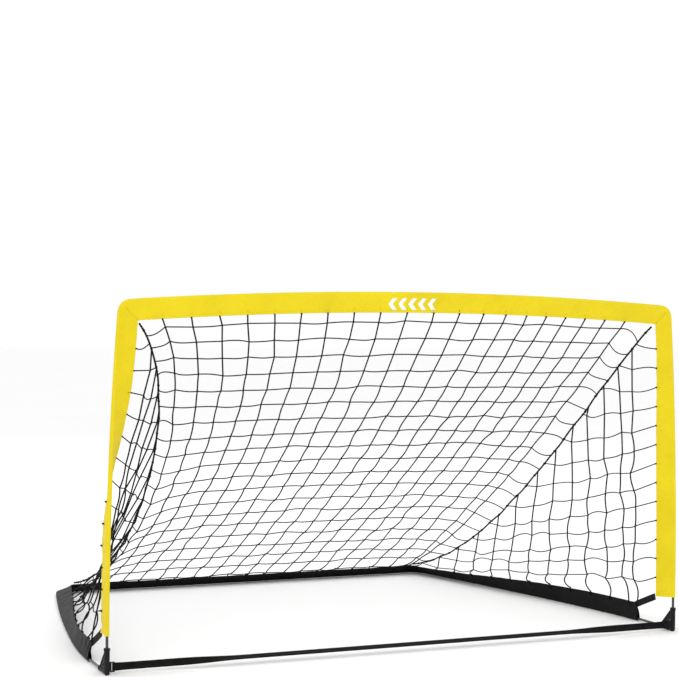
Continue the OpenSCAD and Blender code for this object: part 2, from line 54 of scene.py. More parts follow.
def direction(h):
    """The unit vector at heading h, in degrees, in a curve's own plane."""
    return np.array([math.cos(math.radians(h)), math.sin(math.radians(h))])


def turned(d):
    """The way a curve runs where its radius points along d."""
    return np.array([-d[1], d[0]])


def standing(d):
    """A direction in the mouth's plane as a 3-D vector."""
    return np.array([d[0], 0.0, d[1]])


def flat(d):
    """A direction in the ground plane as a 3-D vector."""
    return np.array([d[0], d[1], 0.0])


def smooth(t):
    t = np.clip(t, 0.0, 1.0)
    return t * t * (3 - 2 * t)


def mix(a, b, t):
    return a + (b - a) * t


def unit(v):
    return v / np.linalg.norm(v)


def hang(v):
    """A parabola that is 0 at both ends and 1 in the middle."""
    return 4 * v * (1 - v)


def mirrored(points):
    return np.asarray(points) * np.array([-1.0, 1, 1])


def on_side(name, points):
    """Points made for the goal's right, put on the side named."""
    return mirrored(points) if name == "left" else np.asarray(points)


# ---- dimensions, in metres and degrees: the same names and formulas as the part's own ----

POLE_LOW, POLE_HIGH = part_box("upright_pole_right_lower")
POLE_R = (POLE_HIGH.y - POLE_LOW.y) / 2
HALF_W = POLE_HIGH.x - POLE_R
MOUTH_Y = (POLE_HIGH.y + POLE_LOW.y) / 2
GOAL_H = 1.220
GOAL_D = 1.600
LEAN = 4.3
CROSSBAR_RISE = 3.9
CROSSBAR_H = 90 - CROSSBAR_RISE
SIDE_FRONT_TURN = 9.0
SIDE_TURN = 13.8
REAR_BEND = 0.080
TOP_BEND = 0.040
SLEEVE_W = 0.072
SLEEVE_R = 0.0081
TAIL_L = SLEEVE_W - SLEEVE_R
SLEEVE_TWIST = {"left": 90.0, "right": 34.0}
SLEEVE_FOOT = 0.128
TWIST_LOW, TWIST_HIGH = 0.430, 1.100
STRAP_W = 0.025
STRAP_T = 0.0018
SEAM_R = 0.003
BACK_SAG = 0.180
SEAM_SAG = 0.280
SEAM_PULL = 0.085
NET_GAP = 0.002

REAR_Y = MOUTH_Y + GOAL_D
STRAIGHT_TOP = 0.130
LEAN_ACROSS, LEAN_UP = direction(LEAN)
BEND_Z = GOAL_H - SLEEVE_R - TOP_BEND * (direction(CROSSBAR_RISE)[0] - LEAN_UP)
UPRIGHT_ARC = (BEND_Z - STRAIGHT_TOP) / LEAN_UP
BEND_X = HALF_W - UPRIGHT_ARC * (1 - LEAN_ACROSS)
POLE_Z = 0.009
SIDE_STRAIGHT = 0.100
SIDE_FRONT_L = 0.430
BASE_SLEEVE_START = 0.215
LIFT_FRONT = 84.0
LIFT_REAR = 30.0
LIFT_FULL = 0.28

# The net is cut in two where points reach NET_MIDDLE along this direction: the upper piece lies on the
# mouth frame's side, the lower piece on the ground frame's side.
NET_WAY = Vector((0, 0.75, -0.66)).normalized()
NET_ORIGIN = Vector((0, MOUTH_Y, 0))
NET_START, NET_MIDDLE, NET_END = -0.038, 0.031, 0.104

ROWS_PER_SIDE = 13
COLUMNS_PER_SIDE = 12
SIDE_TOP_ROW = 1.058
SIDE_FIRST_COLUMN = 0.154
SIDE_COLUMN_LEAN = 0.34
BACK_COLUMNS = 20
BACK_ROWS = 20
SIDE_CELL = 0.0715
SIDE_COLUMN_STEP = 0.113
COLUMN_R = 0.0027
ROW_R = 0.0021


# ---- the frame's curves ----

UPRIGHT_CENTRE = np.array([HALF_W - UPRIGHT_ARC, MOUTH_Y, STRAIGHT_TOP])
TOP_CENTRE = np.array([BEND_X, MOUTH_Y, BEND_Z]) - TOP_BEND * standing(direction(LEAN))
CROSSBAR_END = TOP_CENTRE + TOP_BEND * standing(direction(CROSSBAR_H))
CROSSBAR_ARC = CROSSBAR_END[0] / direction(CROSSBAR_H)[0]
CROSSBAR_CENTRE = np.array([0, MOUTH_Y, CROSSBAR_END[2] - CROSSBAR_ARC * direction(CROSSBAR_H)[1]])
MITRE_H = (LEAN + CROSSBAR_H) / 2
INNER_CORNER = TOP_CENTRE - (TAIL_L - TOP_BEND) * np.array([1, 0, 1])

FRONT_ARC = SIDE_FRONT_L / math.radians(SIDE_FRONT_TURN)
FRONT_CENTRE = np.array([HALF_W - FRONT_ARC, MOUTH_Y + SIDE_STRAIGHT, POLE_Z])
FRONT_TURN_BACK, SIDE_TURN_BACK = direction(SIDE_FRONT_TURN)[1], direction(SIDE_TURN)[1]
SIDE_ARC = ((REAR_Y - REAR_BEND * (1 - SIDE_TURN_BACK) - FRONT_CENTRE[1] - FRONT_ARC * FRONT_TURN_BACK)
            / (SIDE_TURN_BACK - FRONT_TURN_BACK))
SIDE_CENTRE = FRONT_CENTRE + (FRONT_ARC - SIDE_ARC) * flat(direction(SIDE_FRONT_TURN))
REAR_CENTRE = SIDE_CENTRE + (SIDE_ARC - REAR_BEND) * flat(direction(SIDE_TURN))
REAR_MITRE_H = (SIDE_TURN + 90) / 2


def mouth_point(h):
    """The mouth's right half by heading: 0 up the upright, 90 along the crossbar."""
    centre, radius = CROSSBAR_CENTRE, CROSSBAR_ARC
    if h <= LEAN:
        centre, radius = UPRIGHT_CENTRE, UPRIGHT_ARC
    elif h <= CROSSBAR_H:
        centre, radius = TOP_CENTRE, TOP_BEND
    return centre + radius * standing(direction(h))


def ground_point(h):
    """The ground frame's right half by heading: 0 into the goal, 90 along the rear pole."""
    centre, radius = REAR_CENTRE, REAR_BEND
    if h <= SIDE_FRONT_TURN:
        centre, radius = FRONT_CENTRE, FRONT_ARC
    elif h <= SIDE_TURN:
        centre, radius = SIDE_CENTRE, SIDE_ARC
    return centre + radius * flat(direction(h))


def upright_hem(p, name):
    """The hem beside p on an upright: turned back more and more on the way down to TWIST_LOW."""
    c, s = direction(SLEEVE_TWIST[name] * (1 - smooth((p[2] - TWIST_LOW) / (TWIST_HIGH - TWIST_LOW))))
    return p + TAIL_L * np.array([-c, s, 0])


def crossbar_hem(p):
    return p - TAIL_L * unit(p - CROSSBAR_CENTRE)


def ground_hem(p, h):
    share = (p[1] - MOUTH_Y - BASE_SLEEVE_START) / (GOAL_D - BASE_SLEEVE_START - REAR_BEND)
    lift = mix(LIFT_FRONT, LIFT_REAR, smooth((share - LIFT_FULL * 0.4) / (1 - LIFT_FULL * 0.4)))
    level, up = direction(lift)
    return p + TAIL_L * (np.array([0, 0, up]) - level * flat(direction(h)))


def arc_steps(h0, h1, radius, step):
    """Headings from h0 to h1 with a point about every step along the arc."""
    n = max(2, math.ceil(abs(math.radians(h1 - h0)) * radius / step))
    return [mix(h0, h1, k / n) for k in range(n + 1)]


def joined(*runs):
    """Runs of headings end to end, with shared ends kept once."""
    out = list(runs[0])
    for run in runs[1:]:
        out += list(run)[1:]
    return out


def upright_stations(step, name):
    foot = np.array([HALF_W, MOUTH_Y, SLEEVE_FOOT])
    stations = [(foot, np.array([0, 0, 1.0]), upright_hem(foot, name))]
    for h in joined(arc_steps(0.01, LEAN, UPRIGHT_ARC, step), arc_steps(LEAN, MITRE_H, TOP_BEND, step / 2)):
        p = mouth_point(h)
        hem = upright_hem(p, name) if p[2] < INNER_CORNER[2] and h <= LEAN else INNER_CORNER
        stations.append((p, standing(turned(direction(h))), hem))
    return stations


def left_stations(right):
    """The stations that carry a curve on over the goal's left."""
    return [(mirrored(p), -mirrored(travel), mirrored(hem)) for p, travel, hem in reversed(right)]


def crossbar_stations(step):
    right = []
    for h in joined(arc_steps(MITRE_H, CROSSBAR_H, TOP_BEND, step / 2),
                    arc_steps(CROSSBAR_H, 90, CROSSBAR_ARC, step)):
        p = mouth_point(h)
        hem = INNER_CORNER if p[0] > INNER_CORNER[0] else crossbar_hem(p)
        right.append((p, standing(turned(direction(h))), hem))
    return right + left_stations(right[:-1])


def side_headings(step):
    first = math.degrees((BASE_SLEEVE_START - SIDE_STRAIGHT) / FRONT_ARC)
    return joined(arc_steps(first, SIDE_FRONT_TURN, FRONT_ARC, step),
                  arc_steps(SIDE_FRONT_TURN, SIDE_TURN, SIDE_ARC, step),
                  arc_steps(SIDE_TURN, REAR_MITRE_H, REAR_BEND, step / 2))


def ground_station(h):
    p = ground_point(h)
    return p, flat(turned(direction(h))), ground_hem(p, h)


def side_stations(step):
    return [ground_station(h) for h in side_headings(step)]


def rear_stations(step):
    bend = [ground_station(h) for h in arc_steps(REAR_MITRE_H, 90, REAR_BEND, step / 2)]
    p, travel, hem = bend[-1]
    n = math.ceil(2 * p[0] / step)
    shifts = [np.array([2 * p[0] * k / n, 0, 0]) for k in range(1, n)]
    return bend + [(p - shift, travel, hem - shift) for shift in shifts] + left_stations(bend)


# ---- mesh helpers ----

class MeshParts:
    """Collects vertices, faces and UVs (in metres) of one piece."""

    def __init__(self):
        self.vertices, self.faces, self.uvs, self.count = [], [], [], 0

    def add(self, vertices, faces, uvs):
        vertices = np.asarray(vertices, float).reshape(-1, 3)
        self.vertices.append(vertices)
        self.faces.extend(tuple(i + self.count for i in f) for f in faces)
        self.uvs.extend(uvs)
        self.count += len(vertices)

    def build(self, name, material):
        mesh = bpy.data.meshes.new(name)
        mesh.from_pydata(np.concatenate(self.vertices).tolist(), [], self.faces)
        layer = mesh.uv_layers.new(name="UVMap")
        layer.data.foreach_set("uv", np.asarray(self.uvs, np.float32).ravel())
        mesh.polygons.foreach_set("use_smooth", [True] * len(mesh.polygons))
        mesh.materials.append(material)
        mesh.validate()
        obj = bpy.data.objects.new(name, mesh)
        bpy.context.scene.collection.objects.link(obj)
        return obj


def ring_faces(n, m, first=0, flip=False):
    """Quads between n rings of m points, and their (ring, place) corners for UVs."""
    faces, corners = [], []
    for i in range(n - 1):
        for j in range(m):
            k = (j + 1) % m
            quad = [(i, j), (i, k), (i + 1, k), (i + 1, j)]
            if flip:
                quad.reverse()
            faces.append(tuple(first + a * m + b for a, b in quad))
            corners.append([(a, b if b or j != m - 1 else m) for a, b in quad])
    return faces, corners


def path_lengths(points):
    return np.concatenate([[0], np.cumsum(np.linalg.norm(np.diff(points, axis=0), axis=1))])


def add_tube(parts, points, radius, sides=6, capped=True):
    """A round tube along points. radius is a number or one per point."""
    points = np.asarray(points, float)
    n = len(points)
    radii = np.full(n, radius) if np.isscalar(radius) else np.asarray(radius)
    tangents = np.gradient(points, axis=0)
    tangents /= np.linalg.norm(tangents, axis=1)[:, None]
    side = unit(np.cross(tangents[0], [0.3, 0.5, 0.81]))
    angles = 2 * math.pi * np.arange(sides) / sides
    rings = []
    for p, t, r in zip(points, tangents, radii):
        side = unit(side - t * (side @ t))
        other = np.cross(t, side)
        rings.append(p + r * (np.cos(angles)[:, None] * side + np.sin(angles)[:, None] * other))
    along = path_lengths(points)
    faces, corners = ring_faces(n, sides)
    uvs = [(along[a], b / sides) for quad in corners for a, b in quad]
    if capped:
        faces.append(tuple(range(sides - 1, -1, -1)))
        faces.append(tuple((n - 1) * sides + j for j in range(sides)))
        uvs += [(0.0, 0.0)] * (2 * sides)
    parts.add(np.concatenate(rings), faces, uvs)


KNOT_STRETCH = 1.3
KNOT_ANGLES = [(lat, lon) for lat in (-0.9, 0.0, 0.9) for lon in range(6)]


def add_knot(parts, centre, axis, radius):
    """A small tight knot: an uneven round lump drawn out along axis."""
    axis = unit(np.asarray(axis, float))
    side = unit(np.cross(axis, [0.31, 0.52, 0.79]))
    other = np.cross(axis, side)
    half = axis * radius * KNOT_STRETCH
    vertices = [centre - half]
    for lat, lon in KNOT_ANGLES:
        a = math.radians(60 * lon + (30 if lat == 0 else 0))
        r = radius * (1.0 if lat == 0 else 0.72) * (1 + 0.12 * math.sin(2 * a + lat))
        vertices.append(centre + half * 0.72 * lat + r * (math.cos(a) * side + math.sin(a) * other))
    vertices.append(centre + half)
    faces = [(0, 1 + (k + 1) % 6, 1 + k) for k in range(6)]
    for ring in (1, 7):
        faces += [(ring + k, ring + (k + 1) % 6, ring + 6 + (k + 1) % 6, ring + 6 + k) for k in range(6)]
    faces += [(19, 13 + k, 13 + (k + 1) % 6) for k in range(6)]
    uvs = [(0.002 * i, 0.3 * i) for f in faces for i in range(len(f))]
    parts.add(vertices, faces, uvs)


def resample(points, step):
    """Points a step apart on a smooth curve through the given ones."""
    points = np.asarray(points, float)
    padded = np.vstack([2 * points[0] - points[1], points, 2 * points[-1] - points[-2]])
    out = []
    for i in range(1, len(padded) - 2):
        a, b, c, d = padded[i - 1:i + 3]
        n = max(1, math.ceil(np.linalg.norm(c - b) / step))
        for k in range(n):
            t = k / n
            out.append(0.5 * (2 * b + (c - a) * t + (2 * a - 5 * b + 4 * c - d) * t ** 2
                              + (3 * b - a - 3 * c + d) * t ** 3))
    out.append(points[-1])
    return np.array(out)


def add_stitch(parts, place, height=0.0003, radius=0.0003):
    """One stitch whose middle stands height off the cloth. place(step, lift) gives a point on it."""
    row = [place(-1, -STITCH_DIP), place(0, height), place(1, -STITCH_DIP)]
    add_tube(parts, row, radius, 4, False)


# ---- materials ----

def node(tree, kind, inputs=None, **settings):
    """Adds a shader node. inputs maps a socket's name or number to a value or to another node's output."""
    made = tree.nodes.new("ShaderNode" + kind)
    for key, value in settings.items():
        setattr(made, key, value)
    for key, value in (inputs or {}).items():
        if isinstance(value, bpy.types.NodeSocket):
            tree.links.new(value, made.inputs[key])
        else:
            made.inputs[key].default_value = value
    return made


def math_node(tree, operation, a, b=0.0):
    return node(tree, "Math", {0: a, 1: b}, operation=operation).outputs[0]


def plus(tree, a, b):
    return math_node(tree, "ADD", a, b)


def times(tree, a, b):
    return math_node(tree, "MULTIPLY", a, b)


def new_material(name, **constants):
    """A material and its shader, with values that are the same all over set on the shader's own sockets."""
    material = bpy.data.materials.new(name)
    material.use_nodes = True
    shader = material.node_tree.nodes["Principled BSDF"]
    for key, value in constants.items():
        shader.inputs[key.replace("_", " ")].default_value = value
    return material, material.node_tree, shader


def feed(tree, shader, colour, roughness, normal=None):
    """Joins what varies over the surface to the shader."""
    tree.links.new(colour, shader.inputs["Base Color"])
    tree.links.new(roughness, shader.inputs["Roughness"])
    if normal is not None:
        tree.links.new(normal, shader.inputs["Normal"])


def noise(tree, scale, detail=3.0, roughness=0.55):
    place = node(tree, "TexCoord").outputs["Object"]
    inputs = {"Vector": place, "Scale": scale, "Detail": detail, "Roughness": roughness}
    return node(tree, "TexNoise", inputs).outputs["Fac"]


def ramp(tree, factor, stops):
    """A colour ramp from (place, colour) stops."""
    made = node(tree, "ValToRGB", {"Fac": factor})
    elements = made.color_ramp.elements
    while len(elements) < len(stops):
        elements.new(0.5)
    for element, (place, colour) in zip(elements, stops):
        element.position = place
        element.color = (*colour, 1)
    return made.outputs["Color"]


def span(tree, factor, low, high):
    """factor, from 0 to 1, turned into low to high."""
    return node(tree, "MapRange", {"Value": factor, "To Min": low, "To Max": high}).outputs["Result"]


def bump(tree, height, distance, strength=1.0, normal=None):
    inputs = {"Height": height, "Distance": distance, "Strength": strength}
    if normal is not None:
        inputs["Normal"] = normal
    return node(tree, "Bump", inputs).outputs["Normal"]


def uv_parts(tree):
    """The UV map's two lengths, along and across, in metres."""
    parts = node(tree, "SeparateXYZ", {0: node(tree, "UVMap", uv_map="UVMap").outputs["UV"]})
    return parts.outputs["X"], parts.outputs["Y"]


def wave(tree, value, pitch):
    """A sine of value with that pitch."""
    return math_node(tree, "SINE", times(tree, value, 2 * math.pi / pitch))


def basket_weave(tree, along, across, pitch):
    """Pairs of threads over and under each other: a height from -1 to 1."""
    turn = times(tree, wave(tree, along, 2 * pitch), wave(tree, across, 2 * pitch))
    over = math_node(tree, "GREATER_THAN", turn, 0.0)
    under = math_node(tree, "SUBTRACT", 1.0, over)
    warp, weft = wave(tree, along, pitch), wave(tree, across, pitch)
    return plus(tree, times(tree, warp, over), times(tree, weft, under))


def coated_cloth(name, pale, deep, gloss):
    """Coated polyester cloth: a basket weave, soft creases, and colour that drifts along the piece."""
    material, tree, shader = new_material(name, Specular_IOR_Level=gloss)
    weave = basket_weave(tree, *uv_parts(tree), THREAD_PITCH)
    mixed = plus(tree, times(tree, noise(tree, 5.0, 4.0), 0.72), times(tree, noise(tree, 90.0, 2.0), 0.2))
    tone = plus(tree, mixed, times(tree, weave, 0.045))
    creases = bump(tree, noise(tree, 26.0, 3.0), 0.0022, 0.6)
    feed(tree, shader, ramp(tree, tone, [(0.25, deep), (0.68, pale)]),
         span(tree, noise(tree, 22.0, 3.0), 0.40, 0.58), bump(tree, weave, 0.00012, 0.6, creases))
    return material


def webbing_material():
    """Black woven strap: ribs along it, slanted picks across it, and its high threads worn a little grey."""
    material, tree, shader = new_material("webbing", Specular_IOR_Level=0.10)
    along, across = uv_parts(tree)
    ribs = wave(tree, across, 0.0016)
    picks = wave(tree, plus(tree, along, math_node(tree, "ABSOLUTE", across)), 0.0022)
    height = plus(tree, times(tree, ribs, 0.5), times(tree, picks, 0.5))
    wear = plus(tree, times(tree, height, 0.3), noise(tree, 30.0, 4.0))
    feed(tree, shader, ramp(tree, wear, [(0.35, (0.003, 0.003, 0.0032)), (0.95, (0.013, 0.013, 0.014))]),
         span(tree, noise(tree, 60.0), 0.55, 0.8), bump(tree, height, 0.0003))
    return material


def twisted_material(name, dark, light, pitch, plies, depth, roughness):
    """Twisted twine: slanted plies round the strand, with loose fibres that catch the light."""
    material, tree, shader = new_material(name, Specular_IOR_Level=0.08)
    along, around = uv_parts(tree)
    turns = plus(tree, times(tree, around, float(plies)), math_node(tree, "DIVIDE", along, pitch))
    ply = wave(tree, turns, 1.0)
    tone = plus(tree, times(tree, ply, 0.18), noise(tree, 120.0, 3.0))
    feed(tree, shader, ramp(tree, tone, [(0.3, dark), (0.85, light)]),
         span(tree, noise(tree, 200.0), roughness - 0.08, roughness + 0.12), bump(tree, ply, depth))
    return material


def thread_material(name, dark, light):
    """Sewing thread: a fine two-ply twist."""
    return twisted_material(name, dark, light, 0.0012, 2, 0.00008, 0.5)


def moulded_material(name, dark, light, grain):
    """Moulded nylon: a fine spark-eroded grain, soft flow streaks, and scuffs that dull and lighten it."""
    material, tree, shader = new_material(name, Specular_IOR_Level=0.18)
    scuffs = noise(tree, 45.0, 6.0, 0.7)
    streaks = bump(tree, noise(tree, 35.0, 2.0), 0.0004, 0.4)
    worn = tuple(3 * c for c in light)
    feed(tree, shader, ramp(tree, scuffs, [(0.35, dark), (0.62, light), (0.78, worn)]),
         span(tree, noise(tree, 18.0, 4.0), 0.36, 0.62),
         bump(tree, noise(tree, grain, 2.0), 0.00015, 0.5, streaks))
    return material


def fibreglass_material():
    """Pultruded fibreglass rod: dark resin with fine lengthwise fibres under a glossy skin."""
    material, tree, shader = new_material("fibreglass", Coat_Weight=0.35, Coat_Roughness=0.18,
                                          Specular_IOR_Level=0.5)
    fibres = noise(tree, 900.0, 2.0)
    tone = plus(tree, times(tree, fibres, 0.45), times(tree, noise(tree, 14.0, 4.0), 0.55))
    feed(tree, shader, ramp(tree, tone, [(0.35, (0.007, 0.007, 0.008)), (0.7, (0.030, 0.031, 0.034))]),
         span(tree, noise(tree, 60.0, 3.0), 0.22, 0.42), bump(tree, fibres, 0.00006, 0.5))
    return material


def aluminium_material():
    """Drawn aluminium tube: brushed, with faint stains."""
    material, tree, shader = new_material("aluminium", Metallic=1.0)
    brushed = noise(tree, 700.0, 2.0)
    stains = noise(tree, 20.0, 5.0)
    feed(tree, shader, ramp(tree, stains, [(0.3, (0.50, 0.51, 0.53)), (0.7, (0.74, 0.75, 0.77))]),
         span(tree, brushed, 0.22, 0.42), bump(tree, brushed, 0.00005, 0.5))
    return material


def elastic_material():
    """White elastic cord: a braided cover with a few dark tracer threads."""
    material, tree, shader = new_material("elastic_cord", Sheen_Weight=0.3, Sheen_Roughness=0.5)
    object_place = node(tree, "TexCoord").outputs["Object"]
    braid = node(tree, "TexVoronoi", {"Vector": object_place, "Scale": 900.0}).outputs["Distance"]
    feed(tree, shader, ramp(tree, braid, [(0.1, (0.30, 0.30, 0.32)), (0.5, (0.78, 0.78, 0.76))]),
         span(tree, noise(tree, 150.0), 0.55, 0.75), bump(tree, braid, 0.0002))
    return material


def ink_material():
    """White screen print: the cloth's weave shows through, with fine cracks and a dusty tint."""
    material, tree, shader = new_material("white_print", Specular_IOR_Level=0.35, Coat_Weight=0.05,
                                          Coat_Roughness=0.4)
    weave = basket_weave(tree, *uv_parts(tree), THREAD_PITCH)
    age = noise(tree, 60.0, 6.0, 0.7)
    tint = ramp(tree, age, [(0.2, (0.76, 0.74, 0.52)), (0.36, (0.86, 0.86, 0.83)), (0.9, (0.93, 0.93, 0.92))])
    feed(tree, shader, tint, span(tree, age, 0.42, 0.62), bump(tree, weave, 0.00010, 0.6))
    return material


THREAD_PITCH = 0.0011
DARKEST = (0.0025, 0.0025, 0.0025)
YELLOW = coated_cloth("yellow_cloth", (0.84, 0.68, 0.010), (0.70, 0.54, 0.006), 0.16)
BLACK_CLOTH = coated_cloth("black_cloth", (0.009, 0.009, 0.0095), (0.003, 0.003, 0.0032), 0.08)
WEBBING = webbing_material()
NET_TWINE = twisted_material("net_twine", DARKEST, (0.010, 0.010, 0.0105), 0.007, 3, 0.0003, 0.55)
SEAM_ROPE = twisted_material("seam_rope", DARKEST, (0.011, 0.011, 0.0115), 0.005, 3, 0.0003, 0.6)
YELLOW_THREAD = thread_material("yellow_thread", (0.60, 0.46, 0.010), (0.84, 0.72, 0.030))
BLACK_THREAD = thread_material("black_thread", (0.010, 0.010, 0.011), (0.045, 0.045, 0.048))
INK = ink_material()


# ---- sleeves ----

CLOTH_T = 0.0005
HEM_HALF = 0.0015
PINCH_HALF = 0.0009
STITCH_INSET = 0.008
STITCH_PITCH = 0.0042
STITCH_HALF = 0.0014
STITCH_DIP = 0.0002
END_BAND = 0.012
SLEEVE_SKIN_R = 0.0077
LAYER_SHARES = [0.0, 0.05, 0.11, 0.18, 0.26, 0.35, 0.45, 0.55, 0.65, 0.75, 0.84, 0.92]
HEM_INSETS = [0.0100, 0.0088, 0.0080, 0.0072, 0.0058, 0.0035, 0.0012]
ROUND_ANGLES = [90 + 180 * k / 10 for k in range(1, 10)]


class Waves:
    """A few crossing sine waves, seeded, that stand for the slack in a strip of cloth."""

    def __init__(self, seed, shortest, longest, count=6):
        rng = np.random.default_rng(seed)
        self.length = rng.uniform(shortest, longest, count)
        self.skew = rng.uniform(-1.1, 1.1, count)
        self.phase = rng.uniform(0, 2 * math.pi, count)
        self.size = rng.uniform(0.5, 1.0, count)

    def at(self, along, down):
        total = 0
        for length, skew, phase, size in zip(self.length, self.skew, self.phase, self.size):
            total = total + size * np.sin(2 * math.pi * (along + skew * down) / length + phase)
        return total / math.sqrt(len(self.size))


class Sleeve:
    """Two layers of cloth round a pole, sewn together along a hem. A place on it is a length along the pole
    and a distance down from the pole towards the hem."""

    def __init__(self, stations, seed, slack, mitres=(), bands=()):
        pole = np.array([s[0] for s in stations])
        travel = np.array([unit(s[1]) for s in stations])
        hem = np.array([s[2] for s in stations])
        places = path_lengths(pole)
        self.length = places[-1]
        self.mitres = [self.length if m else 0.0 for m in mitres]
        self.bands = [self.length if b else 0.0 for b in bands]
        self.ties = ()
        steps = (0.0006, END_BAND - 0.0012, END_BAND - 0.0004, END_BAND)
        fine = [abs(b - d) for b in self.bands for d in steps]
        fine += [abs(m - d) for m in self.mitres for d in (0.0007, 0.0015, 0.0026, 0.004)]
        self.along = np.unique(np.concatenate([places, fine]).round(7))
        pick = lambda values: np.stack([np.interp(self.along, places, values[:, i]) for i in range(3)], 1)
        self.pole, travel, self.hem = pick(pole), pick(travel), pick(hem)
        self.width = np.linalg.norm(self.hem - self.pole, axis=1)
        self.down = (self.hem - self.pole) / self.width[:, None]
        self.out = np.cross(travel, self.down)
        self.out /= np.linalg.norm(self.out, axis=1)[:, None]
        self.slack = slack
        self.sway = Waves(seed, 0.09, 0.30)
        self.creases = {1: Waves(seed + 1, 0.035, 0.13, 9), -1: Waves(seed + 2, 0.035, 0.13, 9)}
        self.strength = Waves(seed + 3, 0.25, 0.6, 3)

    def pick(self, along, values):
        if values.ndim == 1:
            return np.interp(along, self.along, values)
        return np.stack([np.interp(along, self.along, values[:, i]) for i in range(3)], -1)

    def half(self, along, down, width):
        """Half the distance between the layers."""
        lead = width - STITCH_INSET
        wedge = PINCH_HALF + (SLEEVE_SKIN_R - PINCH_HALF) * np.clip(1 - down / lead, 0, 1) ** 1.6
        hem = PINCH_HALF + (HEM_HALF - PINCH_HALF) * smooth((down - lead) / 0.003)
        half = np.where(down < lead, wedge, hem)
        for m in self.mitres:
            seam = np.exp(-(np.abs(along - m) / 0.0022) ** 2) * smooth((down - 0.006) / 0.012)
            half = half - 0.55 * (half - 0.0008) * seam
        for b in self.bands:
            half = half + 0.0005 * (np.abs(along - b) < END_BAND) * smooth((down + 0.002) / 0.004)
        return half

    def shift(self, along, down, width, layer):
        """How far the cloth stands out of its plane."""
        share = np.clip(down / width, 0, 1)
        loose = smooth(share * 1.6) * (1 - 0.35 * share)
        fade = 1.0
        for m in self.mitres:
            fade = fade * smooth(np.abs(along - m) / 0.03)
        gain = self.slack * (0.75 + 0.35 * self.strength.at(along, down)) * loose * fade
        out = gain * (0.55 * self.sway.at(along, down) + 0.42 * layer * self.creases[layer].at(along, down))
        for b in self.bands:
            near = np.exp(-((along - b) / 0.07) ** 2) * loose
            out = out + 1.1 * self.slack * near * np.sin(2 * math.pi * (along * 0.8 + 0.55 * down) / 0.042)
        for m in self.mitres:
            near = np.exp(-((np.abs(along - m) - 0.012) / 0.016) ** 2) * smooth(share * 3)
            out = out + 0.0007 * near * np.sin(2 * math.pi * down / 0.017 + 40 * along)
        for tie in self.ties:
            out = out - 0.0011 * np.exp(-((along - tie) / 0.007) ** 2) * smooth((share - 0.55) / 0.45)
        return out

    def point(self, along, down, layer, lift=0.0, skin=0.0):
        """Places on a layer, lifted off it, or sunk by skin into the cloth."""
        along, down = np.asarray(along, float), np.asarray(down, float)
        width = self.pick(along, self.width)
        height = self.half(along, down, width) - skin + lift
        offset = self.shift(along, down, width, layer) + layer * height
        return (self.pick(along, self.pole) + down[..., None] * self.pick(along, self.down)
                + offset[..., None] * self.pick(along, self.out))

    def loop(self, skin):
        """Rings round the sleeve: down layer -1 from the pole, round the hem, up layer 1, over the pole."""
        width = self.width[:, None]
        lead = width - HEM_INSETS[0] - 0.0015
        downs = np.concatenate([lead * np.array(LAYER_SHARES)[None], width - np.array(HEM_INSETS)[None]], 1)
        downs = np.minimum(downs, width - skin - 0.0006)
        along = np.repeat(self.along[:, None], downs.shape[1], 1)
        back = self.point(along, downs, -1, skin=skin)
        front = self.point(along, downs, 1, skin=skin)
        edge_down = width[:, 0] - skin
        edge = (self.pole + edge_down[:, None] * self.down
                + self.shift(self.along, edge_down, self.width, 1)[:, None] * self.out)
        radius = SLEEVE_SKIN_R - skin
        over = [self.pole + radius * (c * self.down + s * self.out) for c, s in map(direction, ROUND_ANGLES)]
        return np.concatenate([back, edge[:, None], front[:, ::-1], np.stack(over, 1)], 1)

    def build(self, name, material):
        """A closed shell with an outer and an inner skin, joined at both ends."""
        outer, inner = self.loop(0.0), self.loop(CLOTH_T)
        n, m = outer.shape[:2]
        around = path_lengths(np.vstack([outer[n // 2], outer[n // 2, :1]]))
        faces, corners = ring_faces(n, m)
        inner_faces, inner_corners = ring_faces(n, m, n * m, True)
        uvs = [(self.along[a], around[b]) for quad in corners + inner_corners for a, b in quad]
        rims = []
        for ring, flip in ((0, False), (n - 1, True)):
            for j in range(m):
                k = (j + 1) % m
                rim = (ring * m + j, (n + ring) * m + j, (n + ring) * m + k, ring * m + k)
                rims.append(rim[::-1] if flip else rim)
                uvs += [(self.along[ring], around[j])] * 4
        parts = MeshParts()
        skins = np.concatenate([outer.reshape(-1, 3), inner.reshape(-1, 3)])
        parts.add(skins, faces + inner_faces + rims, uvs)
        return parts.build(name, material)

    def cut(self):
        """The strip of cloth that makes it: its width round the loop and its length."""
        return 2 * float(self.width.mean()) + math.pi * SLEEVE_SKIN_R, float(self.length)

    def stitch(self, parts, places, downs):
        """A row of stitches on both layers, through places along the sleeve and distances down it."""
        places, downs = np.asarray(places, float), np.broadcast_to(downs, np.shape(places)).astype(float)
        step = np.stack([np.gradient(places), np.gradient(downs)], 1)
        step = STITCH_HALF * step / np.linalg.norm(step, axis=1)[:, None]
        for layer in (1, -1):
            for (a, d), (da, dd) in zip(np.stack([places, downs], 1), step):
                add_stitch(parts, lambda k, lift: self.point(a + k * da, d + k * dd, layer, lift))

    def stitch_seams(self, parts):
        """The stitches along the hem, then beside each folded end and each mitred corner."""
        places = np.arange(0.004, self.length - 0.004, STITCH_PITCH)
        self.stitch(parts, places, self.pick(places, self.width) - STITCH_INSET)
        cross_rows = [(abs(b - END_BAND + 0.002), 0.004, 0.002) for b in self.bands]
        cross_rows += [(abs(m - 0.0045), 0.012, 0.010) for m in self.mitres]
        for place, first, last in cross_rows:
            downs = np.arange(first, float(self.pick(place, self.width)) - last, STITCH_PITCH)
            self.stitch(parts, np.full(len(downs), place), downs)

